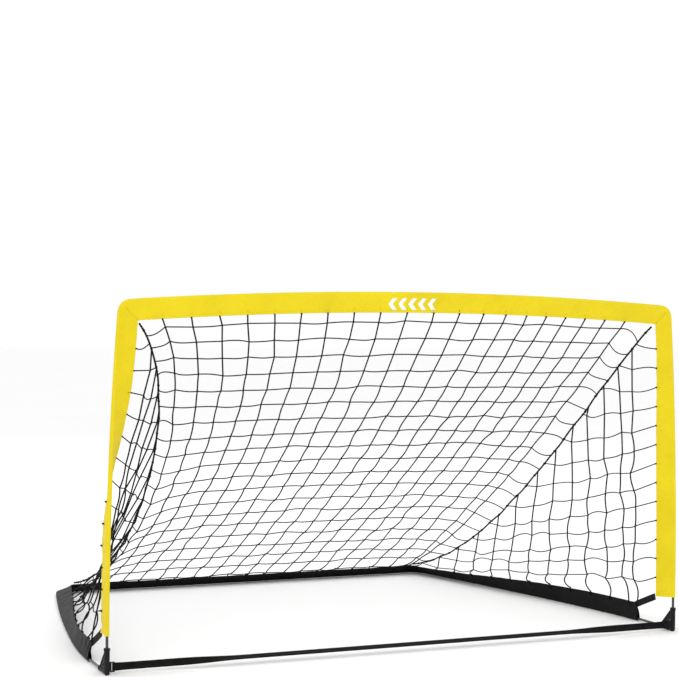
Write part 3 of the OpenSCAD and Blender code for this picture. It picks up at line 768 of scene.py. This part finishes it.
    def tack_marks(self, parts):
        """The bar tacks that hold the net's strands to the hem."""
        for tie in self.ties:
            first = float(self.pick(tie, self.width)) - 0.0115
            for k in range(4):
                down = first - 0.0011 * k
                for layer in (1, -1):
                    place = lambda s, lift: self.point(tie + s * 0.0024, down + s * 0.0006, layer, lift)
                    add_stitch(parts, place, 0.0004, 0.00035)


def flip_to_left(obj):
    """Mirrors a new piece to the goal's left side."""
    obj.data.transform(Matrix.Scale(-1, 4, (1, 0, 0)))
    obj.data.flip_normals()


def dress(sleeve, node_name, material, thread, body, left=False):
    """Builds a sleeve and its sewing in place of the CAD solid."""
    cloth = sleeve.build(node_name + "_cloth", material)
    parts = MeshParts()
    sleeve.stitch_seams(parts)
    sleeve.tack_marks(parts)
    sewing = parts.build(node_name + "_thread", thread)
    if left:
        flip_to_left(cloth)
        flip_to_left(sewing)
    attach(cloth, body)
    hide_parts(node_name)
    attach(sewing, body)
    sleeve.cut()


# ---- the yellow mouth ----

STATION_STEP = 0.0055
YELLOW_SLACK = 0.0034
SIDE_SLACK = 0.0026
REAR_SLACK = 0.0018


def place_on(sleeve, axis, value, points):
    """The length along a sleeve at which its pole or hem reaches a coordinate."""
    values = points[:, axis]
    order = np.argsort(values)
    return float(np.interp(value, values[order], sleeve.along[order]))


def back_columns():
    """Where the back net's columns meet the crossbar: cells of 0.1 m, gathered a little on the right."""
    start, cell, narrowing = -1.015, 0.1005, 0.00033
    gather, gather_x, gather_w = 0.040, 0.26, 0.33
    even = [start + cell * k - narrowing * k * k for k in range(1, BACK_COLUMNS + 1)]
    return [x + gather * math.exp(-((x - gather_x) / gather_w) ** 2) for x in even]


def rear_columns():
    """Where the same columns meet the rear sleeve, gathered to its shorter hem."""
    start, cell, widening, last = -0.825, 0.0775, 0.0003, 0.768
    return [min(start + cell * k + widening * k * k, last) for k in range(1, BACK_COLUMNS + 1)]


def side_row_heights():
    """Where a side net's rows meet the upright's hem."""
    return [SIDE_TOP_ROW - SIDE_CELL * j for j in range(ROWS_PER_SIDE)]


def chevrons(crossbar, material):
    """A plain row of white slanted bars printed at the middle of the crossbar, in place of any mark."""
    bars, pitch, bar_w, slant = 5, 0.038, 0.017, 0.016
    top, bottom, lift = 0.014, 0.054, 0.00022
    middle = place_on(crossbar, 0, 0.0, crossbar.pole)
    parts = MeshParts()
    for k in range(bars):
        first = middle + (k - (bars - 1) / 2) * pitch - bar_w / 2
        grid = []
        for j in range(13):
            share = j / 12
            lean = slant * (1 - abs(2 * share - 1))
            down = np.full(5, mix(top, bottom, share))
            grid.append(crossbar.point(first + lean + bar_w * np.arange(5) / 4, down, 1, lift))
        faces = [(a, a + 5, a + 6, a + 1) for a in (5 * i + j for i in range(12) for j in range(4))]
        uvs = [(first + 0.004 * (i % 5), 0.0033 * (i // 5)) for f in faces for i in f]
        parts.add(np.concatenate(grid), faces, uvs)
    return parts.build("crossbar_print", material)


def make_mouth():
    """The three yellow sleeves. Returns them for the net to hang on."""
    crossbar = Sleeve(crossbar_stations(STATION_STEP), 11, YELLOW_SLACK, mitres=(0, 1))
    crossbar.ties = np.array([place_on(crossbar, 0, x, crossbar.hem) for x in back_columns()])
    dress(crossbar, "crossbar_sleeve", YELLOW,
          YELLOW_THREAD, "mouth_frame")
    marks = chevrons(crossbar, INK)
    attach(marks, "mouth_frame")
    sleeves = {"crossbar": crossbar}
    for name, seed in (("right", 21), ("left", 31)):
        upright = Sleeve(upright_stations(STATION_STEP, name), seed, YELLOW_SLACK, mitres=(1,), bands=(0,))
        upright.ties = np.array([place_on(upright, 2, z, upright.hem) for z in side_row_heights()])
        dress(upright, "upright_sleeve_" + name, YELLOW,
              YELLOW_THREAD, "mouth_frame", name == "left")
        sleeves[name] = upright
    return sleeves


# ---- the black ground sleeves ----

def side_column_depths():
    """Where a side net's columns meet the side sleeve: distances behind the mouth."""
    return [SIDE_FIRST_COLUMN + SIDE_COLUMN_STEP * k for k in range(COLUMNS_PER_SIDE)]


def make_ground():
    """The three black sleeves. Returns them for the net to hang on."""
    sleeves = {}
    for name, seed in (("right", 41), ("left", 51)):
        side = Sleeve(side_stations(STATION_STEP), seed, SIDE_SLACK, mitres=(1,), bands=(0,))
        side.ties = np.array([place_on(side, 1, MOUTH_Y + d, side.hem) for d in side_column_depths()])
        dress(side, "base_sleeve_" + name,
              BLACK_CLOTH, BLACK_THREAD, "ground_frame", name == "left")
        sleeves[name] = side
    rear = Sleeve(rear_stations(STATION_STEP), 61, REAR_SLACK, mitres=(0, 1))
    rear.ties = np.array([place_on(rear, 0, x, rear.hem) for x in rear_columns()])
    dress(rear, "base_sleeve_rear", BLACK_CLOTH,
          BLACK_THREAD, "ground_frame")
    sleeves["rear"] = rear
    return sleeves


# ---- the net ----

SIDE_HEM = [ground_hem(ground_point(h), h) for h in side_headings(0.03)]
TOP_CORNER = INNER_CORNER + np.array([0, NET_GAP, -NET_GAP])
SEAM_TOP = TOP_CORNER + np.array([-0.006, 0.010, -0.006])
SEAM_BOTTOM = SIDE_HEM[-1] + np.array([-0.006, -0.008, 0.010])
SEAM_BOW = np.array([-SEAM_PULL, -SEAM_SAG, -0.11 * SEAM_SAG])
SEAM_SKEW = np.array([-0.19 * SEAM_PULL, -0.14 * SEAM_SAG, 0.47 * SEAM_SAG])
BACK_BOW = np.array([0, -BACK_SAG, 0])
BACK_SKEW = np.array([0, -0.14 * BACK_SAG, 0])
LIFT_REAR_LEVEL, LIFT_REAR_UP = direction(LIFT_REAR)
REAR_HEM = np.array([0, REAR_Y, POLE_Z]) + (TAIL_L + NET_GAP) * np.array([0, -LIFT_REAR_LEVEL, LIFT_REAR_UP])


def bow_at(bow, skew, v):
    return hang(v) * (bow + (1 - 2 * v) * skew)


def seam_point(v):
    return mix(SEAM_TOP, SEAM_BOTTOM, v) + bow_at(SEAM_BOW, SEAM_SKEW, v)


def back_point(top_x, rear_x, v):
    """The back net's surface on the line from top_x on the crossbar to rear_x on the rear sleeve."""
    top = crossbar_hem(mouth_point(math.degrees(math.acos(abs(top_x) / CROSSBAR_ARC))))
    top = top * np.array([math.copysign(1, top_x), 1, 1]) + np.array([0, NET_GAP, -NET_GAP])
    bottom = REAR_HEM + np.array([rear_x, 0, 0])
    u = top_x / SEAM_TOP[0]
    seam = bow_at(SEAM_BOW, SEAM_SKEW, v)
    bow = mix(bow_at(BACK_BOW, BACK_SKEW, v), seam * np.array([0, 1, 1]), min(abs(u), 1) ** 6)
    return mix(top, bottom, v) + bow + np.array([seam[0] * u, 0, 0])


def upright_hem_at(z, name):
    h = math.degrees(math.asin(max(0.0, z - STRAIGHT_TOP) / UPRIGHT_ARC))
    x = mouth_point(h)[0] if z > STRAIGHT_TOP else HALF_W
    return upright_hem(np.array([x, MOUTH_Y, z]), name)


def side_hem_at(depth):
    """The side sleeve's hem at a distance behind the mouth."""
    hem = np.array(SIDE_HEM)
    return np.array([np.interp(MOUTH_Y + depth, hem[:, 1], hem[:, i]) for i in range(3)])


def relax(points, links, rest, held, cap, steps=160, drop=0.0005):
    """Lets a net of strands hang: a strand may go slack but not stretch, and no knot moves past cap."""
    start = points.copy()
    a, b = links[:, 0], links[:, 1]
    degree = np.maximum(np.bincount(links.ravel(), minlength=len(points)), 1)[:, None]
    free = ~held[:, None]
    for _ in range(steps):
        points = points - free * np.array([0, 0, drop])
        apart = points[b] - points[a]
        length = np.linalg.norm(apart, axis=1)
        pull = 0.5 * (np.maximum(length - rest, 0) / length)[:, None] * apart
        shift = np.zeros_like(points)
        np.add.at(shift, a, pull)
        np.add.at(shift, b, -pull)
        points = points + free * 1.4 * shift / degree
        away = points - start
        far = np.linalg.norm(away, axis=1)[:, None]
        points = start + away * np.minimum(1, cap / np.maximum(far, 1e-9))
    return points


ARCH_SHARE = 0.375          # a shallow arch's height from its span and spare length
DEEPEST_HANG = 0.016


class Net:
    """Knots and strands of one panel, with its rows and columns as lists of knot numbers."""

    def __init__(self, seed):
        self.rng = np.random.default_rng(seed)
        self.points, self.held, self.runs = [], [], []

    def knot(self, place, held=False):
        self.points.append(np.asarray(place, float))
        self.held.append(held)
        return len(self.points) - 1

    def run(self, knots, radius, slack):
        if len(knots) > 1:
            self.runs.append((list(knots), radius, slack))

    def settle(self, cap):
        """Gives every stretch of strand its own cut length, and lets the panel hang."""
        links, self.rest = [], {}
        for knots, _, slack in self.runs:
            for pair in zip(knots, knots[1:]):
                gap = np.linalg.norm(self.points[pair[0]] - self.points[pair[1]])
                self.rest[pair] = gap * (1 + self.rng.uniform(0.2, 1.0) * slack)
                links.append(pair)
        rest = np.array([self.rest[pair] for pair in links])
        self.points = list(relax(np.array(self.points), np.array(links), rest, np.array(self.held), cap))

    def strands(self, step=0.013):
        """Each run as (points, radius): straight where it is tight, hanging or curling where it is slack."""
        out = []
        for knots, radius, _ in self.runs:
            line = [self.points[knots[0]]]
            for pair in zip(knots, knots[1:]):
                a, b = self.points[pair[0]], self.points[pair[1]]
                gap = np.linalg.norm(b - a)
                spare = max(self.rest[pair] / gap - 1, 0)
                deep = min(gap * math.sqrt(ARCH_SHARE * spare), DEEPEST_HANG)
                along = (b - a) / gap
                fall = np.array([0, 0, -1.0]) - along * -along[2]
                curl = np.cross(along, self.rng.normal(size=3))
                fall = 0.45 * fall + 0.9 * curl / max(np.linalg.norm(curl), 1e-6)
                fall /= max(np.linalg.norm(fall), 1e-6)
                tilt = self.rng.uniform(-0.5, 0.5)
                n = max(2, math.ceil(gap / step))
                for k in range(1, n + 1):
                    t = k / n
                    line.append(mix(a, b, t) + fall * deep * hang(t) * (1 + tilt * (1 - 2 * t)))
            out.append((np.array(line), radius))
        return out


BACK_SWAY = 0.0020
BACK_COLUMN_SLACK = 0.004
BACK_ROW_SLACK = 0.005
END_CELL_SLACK = 0.05
SIDE_COLUMN_SLACK = 0.010
SIDE_ROW_SLACK = 0.035
SEAM_LAST = 0.985
BACK_SETTLE = 0.006
SIDE_SETTLE = 0.014
KNOT_R = 0.0030
TIED_KNOT_R = 0.0034


def back_rows():
    """Shares of the way down at which the rows lie: cells of 0.1 m."""
    first, step = 0.021, 0.0509
    return [first + step * j for j in range(BACK_ROWS)]


def hem_tie(sleeve, along, name="right"):
    """A strand's end on a hem: round the edge and up to a tack on the far side."""
    width = float(sleeve.pick(along, sleeve.width))
    lift, past_edge = 0.0018, 0.0016
    spots = [sleeve.point(along, width - inset, -1, lift) for inset in (0.009, 0.002)]
    spots.append(sleeve.pick(along, sleeve.hem) + past_edge * sleeve.pick(along, sleeve.down))
    return [on_side(name, p) for p in spots]


def make_back_net(mouth, ground):
    net = Net(71)
    crossbar, rear = mouth["crossbar"], ground["rear"]
    rows = back_rows()
    grid = []
    for top_x, rear_x in zip(back_columns(), rear_columns()):
        sway = net.rng.normal(0, BACK_SWAY, (len(rows), 3))
        column = [net.knot(back_point(top_x, rear_x, v) + s) for v, s in zip(rows, sway)]
        top = hem_tie(crossbar, place_on(crossbar, 0, top_x, crossbar.hem))
        bottom = hem_tie(rear, place_on(rear, 0, rear_x, rear.hem))
        ends = [net.knot(p, True) for p in top], [net.knot(p, True) for p in reversed(bottom)]
        net.run(ends[0] + column + ends[1], COLUMN_R, BACK_COLUMN_SLACK)
        grid.append(column)
    for j, v in enumerate(rows):
        # Each row drops to the seam cord on its last cell, further on the right than on the left.
        right = net.knot(seam_point(min(v + 0.055 - 0.085 * v, SEAM_LAST)), True)
        left = net.knot(mirrored(seam_point(min(v + 0.035 - 0.120 * v, SEAM_LAST))), True)
        net.run([left, grid[0][j]], ROW_R, END_CELL_SLACK)
        net.run([column[j] for column in grid], ROW_R, BACK_ROW_SLACK)
        net.run([grid[-1][j], right], ROW_R, END_CELL_SLACK)
    net.settle(BACK_SETTLE)
    return net


def side_knot(front, rear, top, base):
    """Where a side net's row (upright to seam cord) crosses a column (seam cord to the side's hem)."""
    share = 0.5
    for _ in range(5):
        z = mix(front[2], rear[2], share)
        up = (z - base[2]) / (top[2] - base[2])
        y = mix(base[1], top[1], up)
        share = (y - front[1]) / (rear[1] - front[1])
    if not 0.03 < share < 0.97 or not 0.02 < up < 0.975:
        return None
    return np.array([mix(mix(base[0], top[0], up), mix(front[0], rear[0], share), 0.3), y, z])


def make_side_net(mouth, ground, name, seed):
    net = Net(seed)
    upright, side = mouth[name], ground[name]
    seam = np.array([seam_point(v) for v in np.linspace(0, 1, 300)])
    depths = side_column_depths()
    columns = [[] for _ in depths]
    tops = []
    for depth in depths:
        # Columns lean towards the mouth on their way up.
        y = MOUTH_Y + depth - SIDE_COLUMN_LEAN * math.sin(math.pi * depth / GOAL_D)
        tops.append(np.array([np.interp(y, seam[:, 1], seam[:, i]) for i in range(3)]))
    bases = [side_hem_at(depth) for depth in depths]
    for z in side_row_heights():
        v = 1.17 - 1.03 * z + 0.025 * hang(min(max((z - 0.27) / 0.8, 0), 1))
        front, rear = upright_hem_at(z, name), seam_point(min(max(v, 0.03), SEAM_LAST))
        row = [net.knot(p, True) for p in hem_tie(upright, place_on(upright, 2, z, upright.hem), name)]
        for column, top, base in zip(columns, tops, bases):
            knot = side_knot(front, rear, top, base)
            if knot is not None:
                loose = 0.0030 + 0.002 * smooth((z - 0.35) / 0.5)
                stray = net.rng.normal(0, 1, 3) * np.array([1.6, 0.7, 1]) * loose
                row.append(net.knot(on_side(name, knot + stray)))
                column.append(row[-1])
        row.append(net.knot(on_side(name, rear), True))
        net.run(row, ROW_R, SIDE_ROW_SLACK)
    for depth, column, top in zip(depths, columns, tops):
        bottom = hem_tie(side, place_on(side, 1, MOUTH_Y + depth, side.hem), name)
        end = [net.knot(p, True) for p in reversed(bottom)]
        net.run([net.knot(on_side(name, top), True)] + column + end, COLUMN_R, SIDE_COLUMN_SLACK)
    net.settle(SIDE_SETTLE)
    return net


def net_place(points):
    """How far along the net's way points are."""
    return (np.asarray(points) - np.array(NET_ORIGIN)) @ np.array(NET_WAY)


def split_line(line):
    """Cuts a strand where it crosses the middle of the net's way. Returns (upper runs, lower runs)."""
    places = net_place(line) - NET_MIDDLE
    runs, current, above = ([], []), [line[0]], places[0] < 0
    for i in range(1, len(line)):
        if (places[i] < 0) != above:
            t = places[i - 1] / (places[i - 1] - places[i])
            cut = mix(line[i - 1], line[i], t)
            runs[0 if above else 1].append(current + [cut])
            current, above = [cut], not above
        current.append(line[i])
    runs[0 if above else 1].append(current)
    long_enough = lambda run: len(run) > 1 and path_lengths(np.array(run))[-1] > 1e-4
    return [[np.array(run) for run in half if long_enough(run)] for half in runs]


def net_blend(piece, upper):
    """Bakes a piece's transform into its mesh, the same way for an upper and a lower piece."""
    if upper:
        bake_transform(piece)
    else:
        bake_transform(piece)


def build_halves(name, strands, knots, material, nodes, sides=6):
    """Makes a panel's upper and lower pieces from (line, radius) strands and (place, axis, radius) knots."""
    halves = MeshParts(), MeshParts()
    for line, radius in strands:
        for parts, runs in zip(halves, split_line(line)):
            for run in runs:
                add_tube(parts, run, radius, sides)
    for place, axis, radius in knots:
        add_knot(halves[0 if net_place(place) < NET_MIDDLE else 1], place, axis, radius)
    for parts, word in zip(halves, ("upper", "lower")):
        if parts.count:
            piece = parts.build(f"{name}_{word}", material)
            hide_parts(*nodes)
            net_blend(piece, word == "upper")


def panel_knots(net):
    """A knot wherever two strands cross or a strand is tied off."""
    crossed = {}
    for knots, _, _ in net.runs:
        for before, here, after in zip([None] + knots, knots, knots[1:] + [None]):
            ends = [net.points[i] for i in (before, after) if i is not None]
            axis = ends[-1] - (ends[0] if len(ends) > 1 else net.points[here])
            crossed.setdefault(here, []).append(axis)
    return [(net.points[here], found[0], TIED_KNOT_R if net.held[here] else KNOT_R)
            for here, found in crossed.items() if len(found) > 1 or net.held[here]]


def make_net(mouth, ground):
    back = make_back_net(mouth, ground)
    build_halves("net_back", back.strands(), panel_knots(back), NET_TWINE, ["net_back"])
    for name, seed, cord_seed in (("right", 81, 95), ("left", 83, 97)):
        side = make_side_net(mouth, ground, name, seed)
        build_halves("net_" + name, side.strands(), panel_knots(side), NET_TWINE, ["net_" + name])
        seam_cord(name, cord_seed)


def seam_cord(name, seed):
    """Three plies twisted round the seam's line, with the lumps where it gathers the two panels."""
    steps, turn, plies, lump_step = 640, 0.030, 3, 0.078
    phases = np.random.default_rng(seed).uniform(0, 2 * math.pi, 4)
    shares = np.linspace(0, 1, steps)
    centre = np.array([seam_point(v) for v in shares])
    along = path_lengths(centre)
    sway = [np.sin(along / 0.031 + phase) * np.sin(along / 0.19 + phases[3]) for phase in phases[:3]]
    centre = centre + 0.0016 * np.stack(sway, 1) * smooth(hang(shares) * 6)[:, None]
    tangent = np.gradient(centre, axis=0)
    tangent /= np.linalg.norm(tangent, axis=1)[:, None]
    side = np.cross(tangent, [0, 1.0, 0])
    side /= np.linalg.norm(side, axis=1)[:, None]
    other = np.cross(tangent, side)
    strands = []
    for ply in range(plies):
        angle = (2 * math.pi * (along / turn + ply / plies))[:, None]
        line = centre + 0.60 * SEAM_R * (np.cos(angle) * side + np.sin(angle) * other)
        strands.append((on_side(name, line), 0.66 * SEAM_R))
    lumps = []
    for place in np.arange(0.03, along[-1] - 0.02, lump_step):
        k = int(np.argmin(np.abs(along - place)))
        lumps.append((on_side(name, centre[k]), on_side(name, tangent[k]), 1.75 * SEAM_R))
    build_halves("seam_cord_" + name, strands, lumps, SEAM_ROPE, ["seam_cord_" + name], 5)


# ---- webbing ----

def ribbon_section(count=8):
    """The strap's flat section, with rounded edges and a slightly raised selvage."""
    across = [STRAP_W * (k / count - 0.5) for k in range(count + 1)]
    half = [STRAP_T * (0.28 if k in (0, count) else 0.56 if k in (1, count - 1) else 0.5)
            for k in range(count + 1)]
    section = list(zip(across, half))
    return [(a, -h) for a, h in section] + section[::-1]


def add_ribbon(parts, centres, widths):
    """A strap along centres whose width lies along widths."""
    centres, widths = np.asarray(centres, float), np.asarray(widths, float)
    travel = np.gradient(centres, axis=0)
    section = ribbon_section()
    rings = []
    for p, t, w in zip(centres, travel, widths):
        t = unit(t)
        w = unit(w - t * (w @ t))
        face = np.cross(t, w)
        rings.append([p + a * w + b * face for a, b in section])
    n, m = len(rings), len(section)
    faces, corners = ring_faces(n, m)
    along = path_lengths(centres)
    uvs = [(along[a], section[b % m][0]) for quad in corners for a, b in quad]
    faces += [tuple(range(m - 1, -1, -1)), tuple((n - 1) * m + j for j in range(m))]
    uvs += [(0.0, section[j][0]) for j in range(m - 1, -1, -1)] + [(along[-1], s[0]) for s in section]
    parts.add(np.concatenate(rings), faces, uvs)


def box_stitches(parts, corner, length_way, width_way, out_way, length, width):
    """A sewn box with a cross in it, as straps are fastened."""
    a, b = corner, corner + length * length_way
    c, d = b + width * width_way, corner + width * width_way
    for start, end in ((a, b), (b, c), (c, d), (d, a), (a, c), (b, d)):
        span_way = unit(end - start)
        for k in range(int(np.linalg.norm(end - start) / 0.0036)):
            p = start + span_way * (0.0018 + 0.0036 * k)
            add_stitch(parts, lambda s, lift: p + s * 0.0013 * span_way + lift * out_way)


def strap_turn(x):
    """Angle that the strap has turned from standing at a distance x from the middle."""
    reach = HALF_W - 0.129
    return math.radians(68 * float(smooth((reach - abs(x)) / 0.350)))


def make_ground_strap():
    """One strap from foot to foot: each end passes through the lug and is sewn back onto it."""
    strap_z, lug_x, loop = 0.026, -0.0187, 0.0042
    layer = STRAP_T / 2 + 0.0001
    half_end = [(-0.130, layer), (-0.064, layer), (-0.036, loop), (-0.023, loop), (lug_x, 0.0022)]
    end = [(x, -y) for x, y in half_end] + half_end[::-1] + [(-0.150, 0.0)]
    right = resample([np.array([HALF_W + x, MOUTH_Y + y, strap_z]) for x, y in end], 0.004)
    reach = HALF_W - 0.152
    middle = [np.array([x, MOUTH_Y, strap_z]) for x in np.linspace(reach, -reach, 260)]
    centres = np.vstack([right, middle, mirrored(right[::-1])])
    widths = []
    for p in centres:
        turn = strap_turn(p[0])
        widths.append([0, math.sin(turn), math.cos(turn)])
    parts = MeshParts()
    add_ribbon(parts, centres, widths)
    strap = parts.build("ground_strap_webbing", WEBBING)
    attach(strap, "corner_connectors")
    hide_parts("ground_strap")
    sewing = MeshParts()
    for sign in (1, -1):
        for out in (1, -1):
            corner = np.array([sign * (HALF_W - 0.126), MOUTH_Y + out * (2 * layer + 0.0001), strap_z - 0.010])
            inward, upward, outward = np.array([sign, 0, 0.0]), np.array([0, 0, 1.0]), np.array([0, out, 0.0])
            box_stitches(sewing, corner, inward, upward, outward, 0.050, 0.020)
    thread = sewing.build("ground_strap_thread", BLACK_THREAD)
    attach(thread, "corner_connectors")


def make_tie_strap(name):
    """Webbing from the foot of the yellow sleeve to the front of the black one."""
    foot_hem = upright_hem(np.array([HALF_W, MOUTH_Y, SLEEVE_FOOT]), name)
    a = foot_hem + np.array([-0.001, 0.003, -0.001])
    b = SIDE_HEM[0] + np.array([-0.003, -0.003, -0.004])
    way = unit(b - a)
    across = unit(np.cross(way, [1.0, 0, 0]))
    face = np.cross(way, across)
    shares = np.linspace(0, 1, 31)[:, None]
    line = on_side(name, mix(a - 0.003 * way, b + 0.016 * way, shares) + 0.0016 * hang(shares) * face)
    across = on_side(name, across)
    for word, run in zip(("upper", "lower"), split_line(line)):
        parts = MeshParts()
        for part in run:
            add_ribbon(parts, part, [across] * len(part))
        piece = parts.build(f"tie_strap_{name}_{word}", WEBBING)
        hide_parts("tie_strap_" + name)
        net_blend(piece, word == "upper")


# ---- the frame's own parts ----

def paint(material, *names):
    """Gives CAD nodes a better material."""
    for name in names:
        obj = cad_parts[name]
        obj.data.materials.clear()
        obj.data.materials.append(material)


def paint_frame():
    both = lambda *names: [n.format(side) for n in names for side in ("left", "right")]
    paint(moulded_material("moulded_nylon", (0.004, 0.004, 0.0043), (0.009, 0.009, 0.0095), 1400.0),
          *both("corner_connector_{}"))
    paint(moulded_material("elbow_plastic", (0.006, 0.006, 0.0065), (0.013, 0.013, 0.014), 1800.0),
          *both("rear_elbow_{}", "top_elbow_{}"))
    paint(fibreglass_material(), "rear_pole_middle", "crossbar_pole_middle",
          *both("side_pole_{}_front", "side_pole_{}_middle", "side_pole_{}_rear", "rear_pole_{}",
                "upright_pole_{}_lower", "upright_pole_{}_upper", "crossbar_pole_{}"))
    paint(aluminium_material(), *both("side_ferrule_{}_front", "side_ferrule_{}_rear", "rear_ferrule_{}",
                                      "upright_ferrule_{}", "crossbar_ferrule_{}"))
    paint(elastic_material(), "ground_shock_cord", "mouth_shock_cord")


# ---- stage ----

def make_camera():
    """A long lens from the front left, looking slightly down."""
    yaw, pitch, roll = math.radians(22.02), math.radians(2.52), math.radians(0.40)
    ahead = np.array([math.sin(yaw) * math.cos(pitch), math.cos(yaw) * math.cos(pitch), -math.sin(pitch)])
    level = np.array([math.cos(yaw), -math.sin(yaw), 0])
    above = np.cross(level, ahead)
    right = level * math.cos(roll) + above * math.sin(roll)
    up = -level * math.sin(roll) + above * math.cos(roll)
    data = bpy.data.cameras.new("camera")
    data.sensor_width = 36.0
    data.lens = 85.63
    data.shift_x, data.shift_y = 0.105, 0.081
    camera = bpy.data.objects.new("camera", data)
    place = Vector((-2.567, MOUTH_Y - 5.005, 1.146))
    rows = [(right[i], up[i], -ahead[i], place[i]) for i in range(3)]
    camera.matrix_world = Matrix(rows + [(0, 0, 0, 1)])
    bpy.context.scene.collection.objects.link(camera)
    bpy.context.scene.camera = camera


def floor_material():
    material, tree, shader = new_material("floor", Specular_IOR_Level=0.2)
    pale = ramp(tree, noise(tree, 0.6, 3.0), [(0.3, (0.970, 0.970, 0.970)), (0.7, (0.985, 0.985, 0.985))])
    feed(tree, shader, pale, span(tree, noise(tree, 3.0), 0.7, 0.85))
    return material


def make_stage():
    size = 60.0
    mesh = bpy.data.meshes.new("floor")
    corners = [(-size, -size, 0), (size, -size, 0), (size, size, 0), (-size, size, 0)]
    mesh.from_pydata(corners, [], [(0, 1, 2, 3)])
    mesh.materials.append(floor_material())
    floor = bpy.data.objects.new("floor", mesh)
    bpy.context.scene.collection.objects.link(floor)
    bpy.context.scene.view_settings.view_transform = "Standard"
    world = bpy.data.worlds.new("studio")
    world.use_nodes = True
    background = world.node_tree.nodes["Background"]
    background.inputs["Color"].default_value = (1, 1, 1, 1)
    background.inputs["Strength"].default_value = 1.0
    bpy.context.scene.world = world
    lamps = [("key", (-4.0, -6.0, 5.0), 3.0, 105), ("fill", (5.0, -5.0, 3.5), 4.0, 22),
             ("back", (1.0, 6.0, 5.0), 4.0, 60)]
    for name, place, size, power in lamps:
        light = bpy.data.objects.new(name, bpy.data.lights.new(name, "AREA"))
        light.data.size = size
        light.data.energy = power
        light.location = place
        light.rotation_euler = (Vector((0, 0, 0.5)) - Vector(place)).to_track_quat("-Z", "Y").to_euler()
        bpy.context.scene.collection.objects.link(light)


make_camera()
make_stage()
paint_frame()
MOUTH = make_mouth()
GROUND = make_ground()
make_net(MOUTH, GROUND)
make_ground_strap()
make_tie_strap("right")
make_tie_strap("left")
